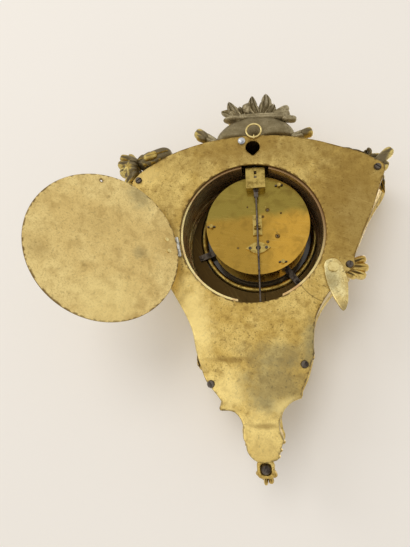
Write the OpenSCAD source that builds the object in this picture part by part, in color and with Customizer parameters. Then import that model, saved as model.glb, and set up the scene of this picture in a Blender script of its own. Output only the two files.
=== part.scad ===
// Alcove clock: a small cast and gilded wall clock, hung on a nail, seen from its back
// with the round rear door open. X runs to the viewer's left when looking at the back,
// Y points out of the back towards the wall, Z is up. The origin is the centre of the
// round part of the hanging hole, on the outer face of the back plate.

/* [Case] */
// Thickness of the back plate
plate_t = 2; // [1.5:0.1:3]
// Depth of the front casting, from the back plate to the front wall's face
case_d = 44; // [42:0.5:54]
// Wall of the front casting
case_wall = 3; // [2:0.25:4]
// How far the casting flares out at its upper corners
flare_top = 12; // [4:1:16]
// How far the casting flares out at its foot
flare_foot = 4; // [2:0.5:5]
// Radius of the screw posts inside the casting
post_r = 3.6; // [3:0.2:5]
// Radius of the head of a case screw
case_screw_r = 2.8; // [2.2:0.1:3.4]

/* [Hanging] */
// Radius of the hanging hole
hang_r = 5.4; // [4:0.2:6.5]
// Radius of the hanging ring, to the middle of its wire
ring_r = 5.8; // [4.5:0.1:7]
// Radius of the hanging ring's wire
ring_wire = 0.7; // [0.5:0.05:0.9]

/* [Rear door] */
// Radius of the round opening in the back plate
aperture_r = 54.2; // [50:0.2:56]
// Sideways place of the opening, towards the hinge
aperture_x = 3.5; // [0:0.5:6]
// Height of the opening's centre
aperture_z = -69; // [-72:0.5:-66]
// Gap between the door and the opening all round
door_gap = 0.4; // [0.3:0.05:0.8]
// Thickness of the rear door
door_t = 1.2; // [0.8:0.1:1.5]
// Lean of the hinge line from upright
hinge_lean = 10.5; // [0:0.5:14]
// How far the door stands open
door_open = 140; // [0:5:165]
// Length of the hinge along its pin
hinge_len = 15; // [12:0.5:20]
// Radius of the hinge pin
hinge_pin_r = 0.7; // [0.5:0.05:0.8]
// Length of the turn latch, from its rivet to its tip
latch_len = 31.5; // [26:0.5:34]

/* [Dial] */
// Radius of the enamel dial
dial_r = 52; // [50.5:0.1:54]
// Thickness of the dial
dial_t = 1.6; // [1.2:0.1:2]
// Outer radius of the bezel
bezel_r = 59; // [56:0.5:60]
// Thickness of the glass
glass_t = 1.4; // [1:0.1:2]
// Length of the minute hand
minute_len = 40; // [34:0.5:44]
// Length of the hour hand
hour_len = 27; // [22:0.5:32]

/* [Movement] */
// Radius of the movement's plates
move_r = 40; // [38.5:0.5:42]
// Thickness of the movement's plates
move_t = 2; // [1.5:0.1:2.4]
// Space between the movement's plates
move_gap = 26; // [25.5:0.5:28]
// How deep the movement's back face lies under the case's back
move_deep = 12; // [11.5:0.1:12.4]
// Sideways place of the movement's axis
move_x = -1; // [-2:0.5:1]
// Height of the movement's axis
move_z = -60; // [-62:0.5:-58]
// Radial clearance of a pivot in its hole
pivot_clear = 0.05; // [0.03:0.01:0.08]

/* [Pendulum] */
// Length of the pendulum, from its bending point to the middle of the bob
pendulum_len = 134; // [120:1:140]
// Radius of the bob
bob_r = 11; // [8:0.5:14]
// Thickness of the bob
bob_t = 5; // [3:0.5:7]
// Radius of the pendulum rod
rod_r = 0.75; // [0.6:0.05:0.9]

/* [Hidden] */
$fn = 48;

GILT = "goldenrod";
BRASS = "darkkhaki";
STEEL = "slategray";
BRONZE = "rosybrown";

// Levels along Y, from the back (0) to the front (negative)
case_front = -case_d;
seat_y = case_front - 2;
move_back = -move_deep;
plates_in = move_back - move_t;
front_in = plates_in - move_gap;
move_front = front_in - move_t;
dial_back = seat_y - 0.2;
ring_front = dial_back - dial_t - 2.2;
bezel_back = ring_front - 0.3;
bezel_front = bezel_back - 7;
swing_y = move_back + 5.5;

// Points along a closed outline, in order round it: the back plate, seen with X to the right
PLATE_OUTLINE = [
    [0, hang_r + 4.8], [-24, 8], [-46, 2.5], [-66, -5.5], [-80, -11.5], [-90, -18], [-96.5, -25],
    [-90, -43], [-83, -61], [-74.5, -79], [-68.8, -93], [-67.6, -100.5], [-58.5, -107], [-49, -118],
    [-43, -127], [-38.5, -137], [-36.5, -150], [-33.5, -164], [-29.5, -177],
    [-25.5, -186], [-17.5, -193], [-12, -201], [-10.5, -208], [-12.5, -214],
    [-10.5, -220], [-8, -227], [0, -230], [8, -227], [11.5, -221], [13.5, -214],
    [15, -204], [21, -198], [28, -195], [34, -185.5], [38.5, -177], [42.5, -166],
    [46, -154], [48.5, -143], [53, -132], [59, -121], [66, -109], [75, -94],
    [82, -79], [87, -61], [92, -43], [98, -25], [91.5, -15], [80, -7.5], [62, 1.5],
    [40, 7.5], [20, 10]
];
// The hollow of the casting, drawn at the back plate
CAVITY_OUTLINE = [
    [0, 7], [-44, -3], [-74, -15], [-87, -27], [-78, -60], [-62, -90], [-45, -116],
    [-34, -137], [-29, -160], [-21, -178], [-8, -184], [12, -184], [27, -178],
    [37, -162], [43, -143], [54, -122], [70, -94], [81, -60], [88, -28], [76, -13],
    [44, 0]
];
// Places of the screws that hold the back plate, and the finial's screw last
SLOT_TURNS = [35, 140, 70, 120, 55, 65];
CASE_SCREWS = [[92, -21], [-91, -25], [-64.6, -98.3], [35.4, -179.6], [-29, -167], [0, -234]];

function last(p) = len(p) - 1;
// A closed curve through the points p, with k steps from each to the next
function smooth(p, k) = [
    for (i = [0:last(p)]) for (j = [0:k - 1])
        let (n = len(p), t = j / k, a = p[(i + n - 1) % n], b = p[i], c = p[(i + 1) % n],
             d = p[(i + 2) % n])
        0.5 * (2 * b + (c - a) * t + (2 * a - 5 * b + 4 * c - d) * t * t
               + (3 * b - a - 3 * c + d) * t * t * t)
];
function unit(v) = v / norm(v);
// The outline p moved outwards by d(z) at each point, for an outline that runs this way round
function grown(p, d0, d1, z0, z1) = [
    for (i = [0:last(p)])
        let (n = len(p), v = unit(p[(i + 1) % n] - p[(i + n - 1) % n]),
             s = min(1, max(0, (p[i][1] - z0) / (z1 - z0))), d = d0 + (d1 - d0) * s * s * (3 - 2 * s))
        p[i] + d * [v[1], -v[0]]
];
function ease(a, b, x) = let (s = min(1, max(0, (x - a) / (b - a)))) s * s * (3 - 2 * s);

// Draws its children in the X and Z plane and gives them thickness from y0 to y1
module slab(y0, y1) {
    translate([0, y1, 0]) rotate([90, 0, 0]) linear_extrude(y1 - y0) children();
}
// A round bar along Y at the point p
module bar_y(p, r, y0, y1) {
    translate([p[0], y1, p[1]]) rotate([90, 0, 0]) cylinder(r = r, h = y1 - y0);
}
// A disc of points, a round hole's outline
module disc_at(p, r) {
    translate(p) circle(r = r);
}
// A straight strip from a to b, w0 wide at a and w1 wide at b
module strip(a, b, w0, w1) {
    let (v = unit(b - a), n = [-v[1], v[0]])
    polygon([a + n * w0 / 2, b + n * w1 / 2, b - n * w1 / 2, a - n * w0 / 2]);
}
// A solid skin over rings of points, closed at both ends
module loft(rings) {
    n = len(rings[0]);
    m = len(rings);
    pts = [for (r = rings) each r];
    sides = [
        for (j = [0:m - 2]) for (i = [0:n - 1])
            let (a = j * n + i, b = j * n + (i + 1) % n)
            each [[a, b + n, b], [a, a + n, b + n]]
    ];
    polyhedron(points = pts, faces = concat(
        [[for (i = [0:n - 1]) i]], sides, [[for (i = [n - 1:-1:0]) (m - 1) * n + i]]
    ), convexity = 6);
}
// One ring of the casting: the outline grown by share s of the flare, at depth y, and
// drawn in to share k about the dial's middle
function case_ring(p, s, y, k, sink) = [
    for (q = grown(p, flare_foot * s, flare_top * s, -150, -30))
        let (x = (q[0] - move_x) * k + move_x, z = (q[1] + 70) * k - 70,
             lift = sink * ease(-120, -225, q[1]))
        [x, y + lift, z]
];
// The casting's outer shape, filled, with the back plate's own thickness in it
module case_block() {
    p = smooth(PLATE_OUTLINE, 2);
    loft([
        case_ring(p, 0, 1, 1, 0),
        case_ring(p, 0, -plate_t, 1, 0),
        case_ring(p, 0.12, case_front * 0.35, 1, 2),
        case_ring(p, 0.45, case_front * 0.68, 1, 10),
        case_ring(p, 1, case_front * 0.92, 1, 17),
        case_ring(p, 0.9, case_front * 0.985, 0.97, 18),
        case_ring(p, 0.5, case_front, 0.8, 14),
        case_ring(p, 0.2, case_front, 0.49, 0),
        case_ring(p, 0, case_front - 0.1, 0.25, 0)
    ]);
}

// Places on the movement, seen from the back: u to the right and v up from its centre
function at(u, v) = [move_x - u, move_z + v];
APERTURE = [aperture_x, aperture_z];
CENTRE = at(0, 0);
BARREL = at(0, -19.5);
INTER = at(14.6, -7.4);
THIRD = at(-4, 11.5);
ESCAPE = at(6.8, 14.1);
PALLET = at(0, 25);
MINUTE = at(4.8, 8.314);
PILLARS = [at(-36, 0), at(18, 31.2), at(18, -31.2)];
FEET = [at(-6, 33.5), at(-20.5, -27), at(29.5, -17)];
BRACKETS = [[24, -33] / 40.8, [-37.6, -13.7] / 40];

// Tooth counts of the going train and of the motion work
great_n = 84;
inter_pin_n = 8;
inter_n = 72;
centre_pin_n = 8;
centre_n = 72;
third_pin_n = 6;
third_n = 72;
escape_pin_n = 6;
escape_n = 34;
cannon_n = 12;
minute_n = 36;
minute_pin_n = 10;
hour_n = 40;
ratchet_n = 24;

function gap2(a, b) = norm(b - a);
function angle2(a, b) = atan2(b[1] - a[1], b[0] - a[0]);
function module_of(a, b, n1, n2) = 2 * gap2(a, b) / (n1 + n2);
m_great = module_of(BARREL, INTER, great_n, inter_pin_n);
m_inter = module_of(INTER, CENTRE, inter_n, centre_pin_n);
m_centre = module_of(CENTRE, THIRD, centre_n, third_pin_n);
m_third = module_of(THIRD, ESCAPE, third_n, escape_pin_n);
m_minute = module_of(CENTRE, MINUTE, cannon_n, minute_n);
m_hour = module_of(CENTRE, MINUTE, minute_pin_n, hour_n);

// Turn of a wheel with nb teeth so that its gaps meet the teeth of a wheel with na teeth
// that is turned by pa, where f is the direction from the first to the second
function mesh(pa, na, nb, f) = f + 180 + (360 / nb) * (0.5 - (pa - f) * na / 360);
turn_centre = 0;
turn_inter = mesh(turn_centre, centre_pin_n, inter_n, angle2(CENTRE, INTER));
turn_barrel = mesh(turn_inter, inter_pin_n, great_n, angle2(INTER, BARREL));
turn_third = mesh(turn_centre, centre_n, third_pin_n, angle2(CENTRE, THIRD));
turn_escape = mesh(turn_third, third_n, escape_pin_n, angle2(THIRD, ESCAPE));
turn_minute = mesh(0, cannon_n, minute_n, angle2(CENTRE, MINUTE));
turn_hour = mesh(turn_minute, minute_pin_n, hour_n, angle2(MINUTE, CENTRE));

// Outline of a toothed wheel: n teeth of module m, add and ded high and deep in modules,
// wp and wt wide at the pitch circle and the tip, as shares of the pitch
function toothed(n, m, add, ded, wp, wt) = [
    for (i = [0:n - 1])
        let (p = 360 / n, c = i * p, r = n * m / 2)
        each [
            for (q = [[r - ded * m, -wp * 0.62], [r, -wp / 2], [r + add * m, -wt / 2],
                      [r + add * m, wt / 2], [r, wp / 2], [r - ded * m, wp * 0.62]])
            q[0] * [cos(c + q[1] * p), sin(c + q[1] * p)]
        ]
];
module wheel_2d(p, n, m, turn) {
    translate(p) rotate(turn) polygon(toothed(n, m, 0.8, 1.1, 0.42, 0.16));
}
module pinion_2d(p, n, m, turn) {
    translate(p) rotate(turn) polygon(toothed(n, m, 0.7, 1.05, 0.3, 0.14));
}
// The round windows between the arms of a wheel
module windows(p, r_hub, r_rim, count) {
    middle = (r_hub + r_rim) / 2;
    r = min((r_rim - r_hub) / 2, middle * sin(180 / count) - 0.5);
    for (i = [0:count - 1])
        translate(p) rotate(i * 360 / count + 20) translate([r_rim - r, 0]) circle(r = r);
}
// An arbor between the plates, with a thinner pivot at each end
module arbor(p, r, pivot_r) {
    bar_y(p, r, front_in + 0.2, plates_in - 0.2);
    bar_y(p, pivot_r, move_front + 0.2, move_back - 0.2);
}
pivot_r = 0.5;
barrel_pivot_r = 1.9;
centre_pivot_r = 0.85;
// Layers of the train, as distances forward of the back plate's inner face
function layer(d) = plates_in - d;

// Case

module case_body() {
    color(GILT)
    difference() {
        union() {
            difference() {
                case_block();
                cavity();
            }
            intersection() {
                case_block();
                for (p = CASE_SCREWS) bar_y(p, post_r, case_front + 1, -plate_t);
            }
            bar_y(CENTRE, bezel_r - 0.5, seat_y, case_front + case_wall);
        }
        translate([-case_reach, -plate_t, -case_reach]) cube([2 * case_reach, plate_t + 5, 2 * case_reach]);
        bar_y(CENTRE, dial_r - 3.2, seat_y - 1, case_front + case_wall + 1);
        for (i = [0:4]) bar_y(CASE_SCREWS[i], 1.4, -12, 0);
        for (p = bracket_holes()) bar_y(p, 0.8, seat_y + 1.5, case_front + case_wall + 1);
    }
}
// More than the casting reaches from the origin, for the cut that leaves its back edge flat
case_reach = 300;
// The hollow that the movement, the drum and the pendulum lie in
module cavity() {
    p = smooth(CAVITY_OUTLINE, 3);
    loft([
        case_ring(p, 0, 2, 1, 0),
        case_ring(p, 0, -plate_t - 6, 1, 0),
        case_ring(p, 0.3, case_front * 0.68, 1, 14),
        case_ring(p, 0.5, case_front + case_wall, 0.96, 26),
        case_ring(p, 0.3, case_front + case_wall, 0.71, 0),
        case_ring(p, 0.2, case_front + case_wall, 0.25, 0)
    ]);
}
function bracket_holes() = [for (b = BRACKETS) at(b[0] * 50.6, b[1] * 50.6)];

// A teardrop: a round hole whose lower side runs down to a blunt point
module teardrop(r) {
    circle(r = r);
    polygon([[-r * 0.77, -r * 0.638], [0, -r * 1.306], [r * 0.77, -r * 0.638]]);
}
module back_plate() {
    color(GILT)
    slab(-plate_t, 0)
    difference() {
        polygon(smooth(PLATE_OUTLINE, 3));
        disc_at(APERTURE, aperture_r);
        teardrop(hang_r);
        for (i = [0:4]) disc_at(CASE_SCREWS[i], 1.5);
        disc_at(latch_at, latch_shaft_r + 0.03);
        disc_at(pin_at, 1.5);
        for (p = plate_rivet_places()) disc_at(p, 0.9);
        for (z = [-staple_r, staple_r]) disc_at([staple_x, staple_z + z], staple_wire + 0.03);
    }
}
// One slotted screw with its head at y, its shaft going in and its slot turned by turn
module slotted_screw(p, y, head_r, head_t, shaft_r, shaft_l, turn) {
    difference() {
        union() {
            translate([p[0], y, p[1]]) rotate([-90, 0, 0]) cylinder(r1 = head_r, r2 = head_r * 0.8, h = head_t);
            bar_y(p, shaft_r, y - shaft_l, y + head_t / 2);
        }
        translate([p[0], y + head_t, p[1]]) rotate([0, turn, 0])
            cube([head_r * 3, head_t, head_r * 0.28], center = true);
    }
}
module case_screws() {
    color(STEEL) {
        for (i = [0:4]) slotted_screw(CASE_SCREWS[i], 0, case_screw_r, 1.5, 1.3, 9, SLOT_TURNS[i]);
        slotted_screw(CASE_SCREWS[5], finial_back, 3.3, 1.8, 1.5, 9, SLOT_TURNS[5]);
    }
}

// Cast ornament round the case

// A pointed leaf outline from a to b, w wide, bent sideways by c
function leaf(a, b, w, c) = let (v = b - a, n = [-v[1], v[0]] / norm(v)) [
    for (i = [0:8]) let (t = i / 8) a + v * t + n * (w / 2 * sin(180 * pow(t, 0.8)) + c * 4 * t * (1 - t)),
    for (i = [7:-1:1]) let (t = i / 8) a + v * t + n * (-w / 2 * sin(180 * pow(t, 0.8)) + c * 4 * t * (1 - t))
];
module leaf_2d(a, b, w, c = 0) polygon(leaf(a, b, w, c));
// Cuts the casting and the back plate out of a piece that sits on them
module on_case() {
    difference() {
        children();
        case_block();
    }
}
module crest() {
    color(BRONZE)
    on_case() {
        slab(-26, -3) polygon(smooth([[-39, 5], [-37, 15], [-29, 25], [-14, 31], [0, 33], [14, 31],
                                      [27, 25], [34, 15], [36, 5], [0, 11]], 3));
        slab(-31, -25) polygon(smooth([[-28, 8], [-26, 18], [-14, 26], [0, 28], [14, 26], [24, 18],
                                       [26, 8], [0, 14]], 3));
        slab(-24, -7) {
            leaf_2d([-6, 24], [-12, 49], 17, 2);
            leaf_2d([-12, 22], [-31, 35], 12, -2);
            leaf_2d([-22, 18], [-39, 22], 9, -1);
            leaf_2d([6, 24], [4, 43], 14, -1);
            leaf_2d([14, 20], [25, 37], 12, 2);
        }
        slab(-22, -8) {
            leaf_2d([28, 10], [46, 26], 15, -2);
            leaf_2d([-30, 8], [-47, 14], 12, 1);
        }
    }
}
module hinge_side_scroll() {
    color(GILT)
    on_case() {
        slab(-34, -4) {
            disc_at([100, -6], 8.5);
            leaf_2d([100, -2], [62, 3], 13, -3);
        }
        slab(-38, -10) leaf_2d([106, -8], [98, -34], 11, 2);
    }
}
module latch_side_scroll() {
    color(GILT)
    on_case() {
        slab(-34, -8) {
            leaf_2d([-84, -8], [-105, -9], 12, 1);
            leaf_2d([-101, -12], [-104, -36], 10, 1);
        }
        slab(-30, -10) leaf_2d([-86, -6], [-60, -1], 9, -1);
    }
}
module latch_side_leaf() {
    color(GILT)
    on_case() slab(-24, -2.2) {
        leaf_2d([-60, -97], [-79, -107], 13, -1);
        leaf_2d([-66, -95], [-81, -93], 8, 1);
    }
}
module hinge_side_leaf() {
    color(GILT)
    on_case() slab(-24, -2.2) {
        leaf_2d([68, -97], [88, -107], 13, 1);
        leaf_2d([76, -93], [90, -92], 8, -1);
    }
}
module side_husks() {
    color(GILT)
    on_case() slab(-18, -3) {
        leaf_2d([42, -172], [49.5, -158], 8, 0);
        leaf_2d([-32, -166], [-42, -153], 8, 0);
    }
}
finial_back = -1;
module bottom_finial() {
    color(BRONZE)
    difference() {
        on_case() slab(-16, finial_back) {
            polygon(smooth([[-6.5, -231], [-7.4, -235.5], [-10.5, -240], [-8, -242.5], [-4.5, -241.5],
                            [0, -245], [4.5, -241.5], [8, -242.5], [10.5, -240], [7.4, -235.5],
                            [6.5, -231], [0, -227]], 3));
        }
        bar_y(CASE_SCREWS[5], 1.6, -13, 0);
    }
}
module apron_ornament() {
    color(GILT)
    on_case() {
        slab(-51, -30) {
            for (s = [-1, 1]) {
                leaf_2d([s * 3, -150], [s * 24, -128], 14, s * -3);
                leaf_2d([s * 2, -165], [s * 22, -152], 11, s * -2);
            }
            leaf_2d([0, -195], [0, -132], 17, 0);
        }
    }
}

// Hanging

staple_x = -1.3;
staple_z = hang_r + 2.3;
staple_wire = 0.5;
staple_r = ring_wire + 0.4 + staple_wire;
ring_y = ring_wire + 0.7;
module hanging_ring() {
    color(BRASS)
    translate([staple_x, ring_y, staple_z + ring_r]) rotate([90, 0, 0])
        rotate_extrude() translate([ring_r, 0]) circle(r = ring_wire);
}
// The staple is a bent wire, both ends in the plate, with the ring's wire under its arch
module ring_staple() {
    color(BRASS) {
        for (z = [-staple_r, staple_r])
            bar_y([staple_x, staple_z + z], staple_wire, -plate_t + 0.2, ring_y);
        translate([staple_x, ring_y, staple_z]) rotate([0, -90, 0])
            rotate_extrude(angle = 180) translate([staple_r, 0]) circle(r = staple_wire);
    }
}
pin_at = [8.4, 5.6];
// A domed steel pin beside the hanging hole
module top_pin() {
    color(STEEL) {
        bar_y(pin_at, 1.45, -plate_t, 0.1);
        bar_y(pin_at, 2.9, 0, 1.2);
        intersection() {
            translate([pin_at[0], -1.2, pin_at[1]]) sphere(r = 3.9);
            bar_y(pin_at, 2.9, 1.2, 4);
        }
    }
}

// Rear door and its hinge

door_r = aperture_r - door_gap;
knuckle_r = 1.5;
knuckle_gap = 0.2;
hinge_reach = door_r + 2.4;
hinge_y = knuckle_r + 0.1;
leaf_t = 0.8;
door_y = -0.2;
HINGE = [aperture_x + hinge_reach * cos(hinge_lean), hinge_y, aperture_z - hinge_reach * sin(hinge_lean)];
// Puts a child drawn on the closed door's axes in its place: x from the hinge line over the
// opening, y out of the back, z along the hinge
module hinge_frame(turn) {
    translate(HINGE) rotate([0, hinge_lean, 0]) rotate([0, 0, -turn]) mirror([1, 0, 0]) children();
}
door_rivets_at = [[10.5, 4.6], [10.5, -4.6]];
function plate_rivet_places() = [
    for (s = [-1, 1]) let (x = 8.5, z = s * 4.6)
    [HINGE[0] + x * cos(hinge_lean) + z * sin(hinge_lean), HINGE[2] - x * sin(hinge_lean) + z * cos(hinge_lean)]
];
module rear_door() {
    color(GILT)
    hinge_frame(door_open)
    translate([0, -hinge_y, 0])
    difference() {
        bar_y([hinge_reach, 0], door_r, door_y - door_t, door_y);
        bar_y([hinge_reach - 2, door_r - 5], 1, door_y - door_t - 1, door_y + 1);
        for (p = door_rivets_at) bar_y(p, 0.9, door_y - door_t - 1, door_y + 1);
    }
}
// One knuckle from z0 to z1 along the hinge line
module knuckle(z0, z1) {
    difference() {
        translate([0, 0, z0]) cylinder(r = knuckle_r, h = z1 - z0);
        translate([0, 0, z0 - 1]) cylinder(r = hinge_pin_r + pivot_clear, h = z1 - z0 + 2);
    }
}
knuckle_third = hinge_len / 6;
// Where the door's leaf comes clear of the opening's edge, from the hinge line
leaf_start = hinge_reach - sqrt(pow(aperture_r, 2) - pow(hinge_len / 2, 2)) + 0.2;
leaf_end = 14.2;
leaf_lift = 0.1;
module door_hinge_leaf() {
    color(BRASS)
    hinge_frame(door_open) {
        knuckle(-knuckle_third + knuckle_gap / 2, knuckle_third - knuckle_gap / 2);
        difference() {
            union() {
                translate([0.95, leaf_lift - hinge_y, -knuckle_third + knuckle_gap / 2])
                    cube([leaf_start, door_y + leaf_t - leaf_lift, 2 * knuckle_third - knuckle_gap]);
                translate([leaf_start, door_y - hinge_y, -hinge_len / 2])
                    cube([leaf_end - leaf_start, leaf_t, hinge_len]);
            }
            translate([0, -hinge_y, 0]) for (p = door_rivets_at) bar_y(p, 0.9, door_y - 1, door_y + 2);
        }
    }
}
module plate_hinge_leaf() {
    color(BRASS)
    hinge_frame(0) {
        for (s = [-1, 1]) {
            z0 = s > 0 ? knuckle_third + knuckle_gap / 2 : -hinge_len / 2;
            knuckle(z0, z0 + hinge_len / 3 - knuckle_gap / 2);
            translate([-3, -hinge_y, z0]) cube([2.05, leaf_t, hinge_len / 3 - knuckle_gap / 2]);
        }
        difference() {
            translate([-12.5, -hinge_y, -hinge_len / 2]) cube([10.3, leaf_t, hinge_len]);
            for (s = [-1, 1]) translate([-8.5, 0, s * 4.6]) rotate([90, 0, 0])
                cylinder(r = 0.9, h = 10, center = true);
        }
    }
}
module hinge_pin() {
    color(STEEL)
    hinge_frame(0) translate([0, 0, -hinge_len / 2 - 0.4]) cylinder(r = hinge_pin_r, h = hinge_len + 0.8);
}
module door_rivets() {
    color(BRASS)
    hinge_frame(door_open)
    translate([0, -hinge_y, 0])
    for (p = door_rivets_at) {
        bar_y(p, 0.85, door_y - door_t - 0.2, door_y + leaf_t + 0.2);
        bar_y(p, 1.5, door_y - door_t - 0.6, door_y - door_t);
        bar_y(p, 1.4, door_y + leaf_t, door_y + leaf_t + 0.5);
    }
}
module plate_rivets() {
    color(BRASS)
    for (p = plate_rivet_places()) {
        bar_y(p, 0.85, -plate_t - 0.2, leaf_t + 0.2);
        bar_y(p, 1.4, leaf_t, leaf_t + 0.5);
        bar_y(p, 1.4, -plate_t - 0.5, -plate_t);
    }
}

// Turn latch

latch_at = [-53, -100];
latch_shaft_r = 2.1;
latch_y = 0.35;
latch_t = 1.8;
// Outline of the latch about its rivet, as shares of its length
LATCH_OUTLINE = [
    [0, 0.2], [0.15, 0.15], [0.2, 0], [0.18, -0.28], [0.11, -0.54], [0.02, -0.76], [-0.13, -1],
    [-0.24, -0.85], [-0.28, -0.57], [-0.28, -0.26], [-0.2, 0.03], [-0.11, 0.16]
];
module turn_latch() {
    color(GILT)
    slab(latch_y, latch_y + latch_t)
    difference() {
        translate(latch_at) polygon(smooth(LATCH_OUTLINE * latch_len, 3));
        disc_at(latch_at, latch_shaft_r + pivot_clear);
    }
}
module latch_rivet() {
    color(BRASS) {
        bar_y(latch_at, latch_shaft_r, -plate_t, latch_y + latch_t + 0.3);
        bar_y(latch_at, 3.6, latch_y + latch_t + 0.15, latch_y + latch_t + 0.9);
    }
}

// Drum and dial

drum_r = aperture_r - 1.6;
drum_wall = 0.8;
module drum() {
    color("darkolivegreen")
    difference() {
        union() {
            bar_y(APERTURE, drum_r + drum_wall, case_front + case_wall + 0.3, -plate_t);
            bar_y(APERTURE, aperture_r + 2.6, -plate_t - 0.8, -plate_t);
        }
        bar_y(APERTURE, drum_r, case_front, 0);
        // a notch at the top for the suspension block and one below for the pendulum
        translate([move_x - 10.5, -15, aperture_z + 30]) cube([21, 20, 40]);
        translate([move_x - 16, -13, aperture_z - 70]) cube([32, 20, 30]);
    }
}
knuckle_z = 6;
bezel_pin_at = [move_x + bezel_r + 2.6, bezel_back - 0.2];
module bezel_knuckle(z0, z1, bore) {
    translate([bezel_pin_at[0], bezel_pin_at[1], CENTRE[1]])
    difference() {
        translate([0, 0, z0]) cylinder(r = 1.9, h = z1 - z0);
        translate([0, 0, z0 - 1]) cylinder(r = bore, h = z1 - z0 + 2);
    }
}
module dial_ring() {
    color(GILT) {
        difference() {
            union() {
                bar_y(CENTRE, bezel_r - 0.5, ring_front, seat_y);
                translate([move_x + bezel_r - 4, seat_y - 3.4, CENTRE[1] - knuckle_z])
                    cube([4.3, 2.2, 2 * knuckle_z]);
            }
            bar_y(CENTRE, dial_r + 0.3, dial_back - dial_t - 0.1, seat_y + 1);
            bar_y(CENTRE, dial_r - 3.2, ring_front - 1, seat_y + 1);
        }
        for (s = [-1, 1]) {
            z0 = s > 0 ? 2.1 : -knuckle_z;
            bezel_knuckle(z0, z0 + knuckle_z - 2.1, 0.85);
            translate([move_x + bezel_r - 0.5, seat_y - 3.4, CENTRE[1] + z0])
                cube([2.1, 2.2, knuckle_z - 2.1]);
        }
    }
}
module bezel_hinge_pin() {
    color(STEEL)
    translate([bezel_pin_at[0], bezel_pin_at[1], CENTRE[1] - knuckle_z - 0.4])
        cylinder(r = 0.8, h = 2 * knuckle_z + 0.8);
}
module bezel() {
    color(GILT) {
        translate([CENTRE[0], 0, CENTRE[1]]) rotate([90, 0, 0]) rotate_extrude($fn = 96)
            polygon([[glass_r + 0.3, -bezel_back], [bezel_r, -bezel_back], [bezel_r, -bezel_back + 1.5],
                     [bezel_r - 2.5, -bezel_front], [bezel_r - 6, -bezel_front],
                     [glass_r - 0.7, -glass_y + glass_t + 1.3], [glass_r - 0.7, -glass_y + glass_t + 0.4],
                     [glass_r + 0.3, -glass_y + glass_t + 0.4]]);
        bezel_knuckle(-1.9, 1.9, 0.85);
        translate([move_x + bezel_r - 2, bezel_pin_at[1] - 1.6, CENTRE[1] - 1.9]) cube([3.4, 1.2, 3.8]);
    }
}
// A shallow dome of glass, seated behind the bezel's lip, with its rim's back at glass_y
glass_y = bezel_back - 2.9;
glass_r = dial_r - 2.7;
// Radius and depth of the glass's hollow side
glass_rise = 4.5;
glass_bowl_r = glass_r - 0.5;
glass_sphere = (glass_bowl_r * glass_bowl_r + glass_rise * glass_rise) / (2 * glass_rise);
module glass() {
    color("lightcyan", 0.35)
    translate([CENTRE[0], glass_y, CENTRE[1]])
    intersection() {
        difference() {
            translate([0, glass_sphere - glass_rise - glass_t, 0]) sphere(r = glass_sphere, $fn = 96);
            translate([0, glass_sphere - glass_rise, 0]) sphere(r = glass_sphere, $fn = 96);
        }
        bar_y([0, 0], glass_r, -glass_rise - glass_t - 1, 0);
    }
}
dial_hole_r = 3;
wind_hole_r = 3.4;
module dial() {
    color("ivory")
    difference() {
        bar_y(CENTRE, dial_r, dial_back - dial_t, dial_back);
        bar_y(CENTRE, dial_hole_r, dial_back - dial_t - 1, dial_back + 1);
        bar_y(BARREL, wind_hole_r, dial_back - dial_t - 1, dial_back + 1);
    }
}
foot_r = 0.8;
module dial_feet() {
    color("peru")
    for (p = FEET) difference() {
        bar_y(p, foot_r, dial_back, front_in + 2.6);
        translate([p[0], front_in + 1, p[1]]) rotate([0, 90, 0]) cylinder(r = 0.45, h = 6, center = true);
    }
}

// Hands and motion work

hour_pipe_r = 2.3;
cannon_r = 1.3;
hour_hand_y = dial_back - dial_t - 3.6;
minute_hand_y = hour_hand_y - 1.7;
module hour_wheel() {
    color(BRASS)
    difference() {
        union() {
            slab(move_front - 2.8, move_front - 2) wheel_2d(CENTRE, hour_n, m_hour, turn_hour);
            bar_y(CENTRE, hour_pipe_r, hour_hand_y - 0.2, move_front - 1.9);
        }
        bar_y(CENTRE, cannon_r + 0.08, hour_hand_y - 1, move_front);
    }
}
module cannon_pinion() {
    color(STEEL)
    difference() {
        union() {
            slab(move_front - 1.5, move_front - 0.4) pinion_2d(CENTRE, cannon_n, m_minute, 0);
            bar_y(CENTRE, cannon_r, minute_hand_y - 0.1, move_front - 0.4);
        }
        bar_y(CENTRE, centre_pivot_r + pivot_clear, minute_hand_y - 1, move_front + 1);
    }
}
minute_stud_r = 0.7;
module minute_wheel() {
    color(BRASS)
    difference() {
        union() {
            slab(move_front - 1.4, move_front - 0.6) wheel_2d(MINUTE, minute_n, m_minute, turn_minute);
            slab(move_front - 3, move_front - 1.4) pinion_2d(MINUTE, minute_pin_n, m_hour, turn_minute);
        }
        bar_y(MINUTE, minute_stud_r + pivot_clear, move_front - 4, move_front);
    }
}
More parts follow.
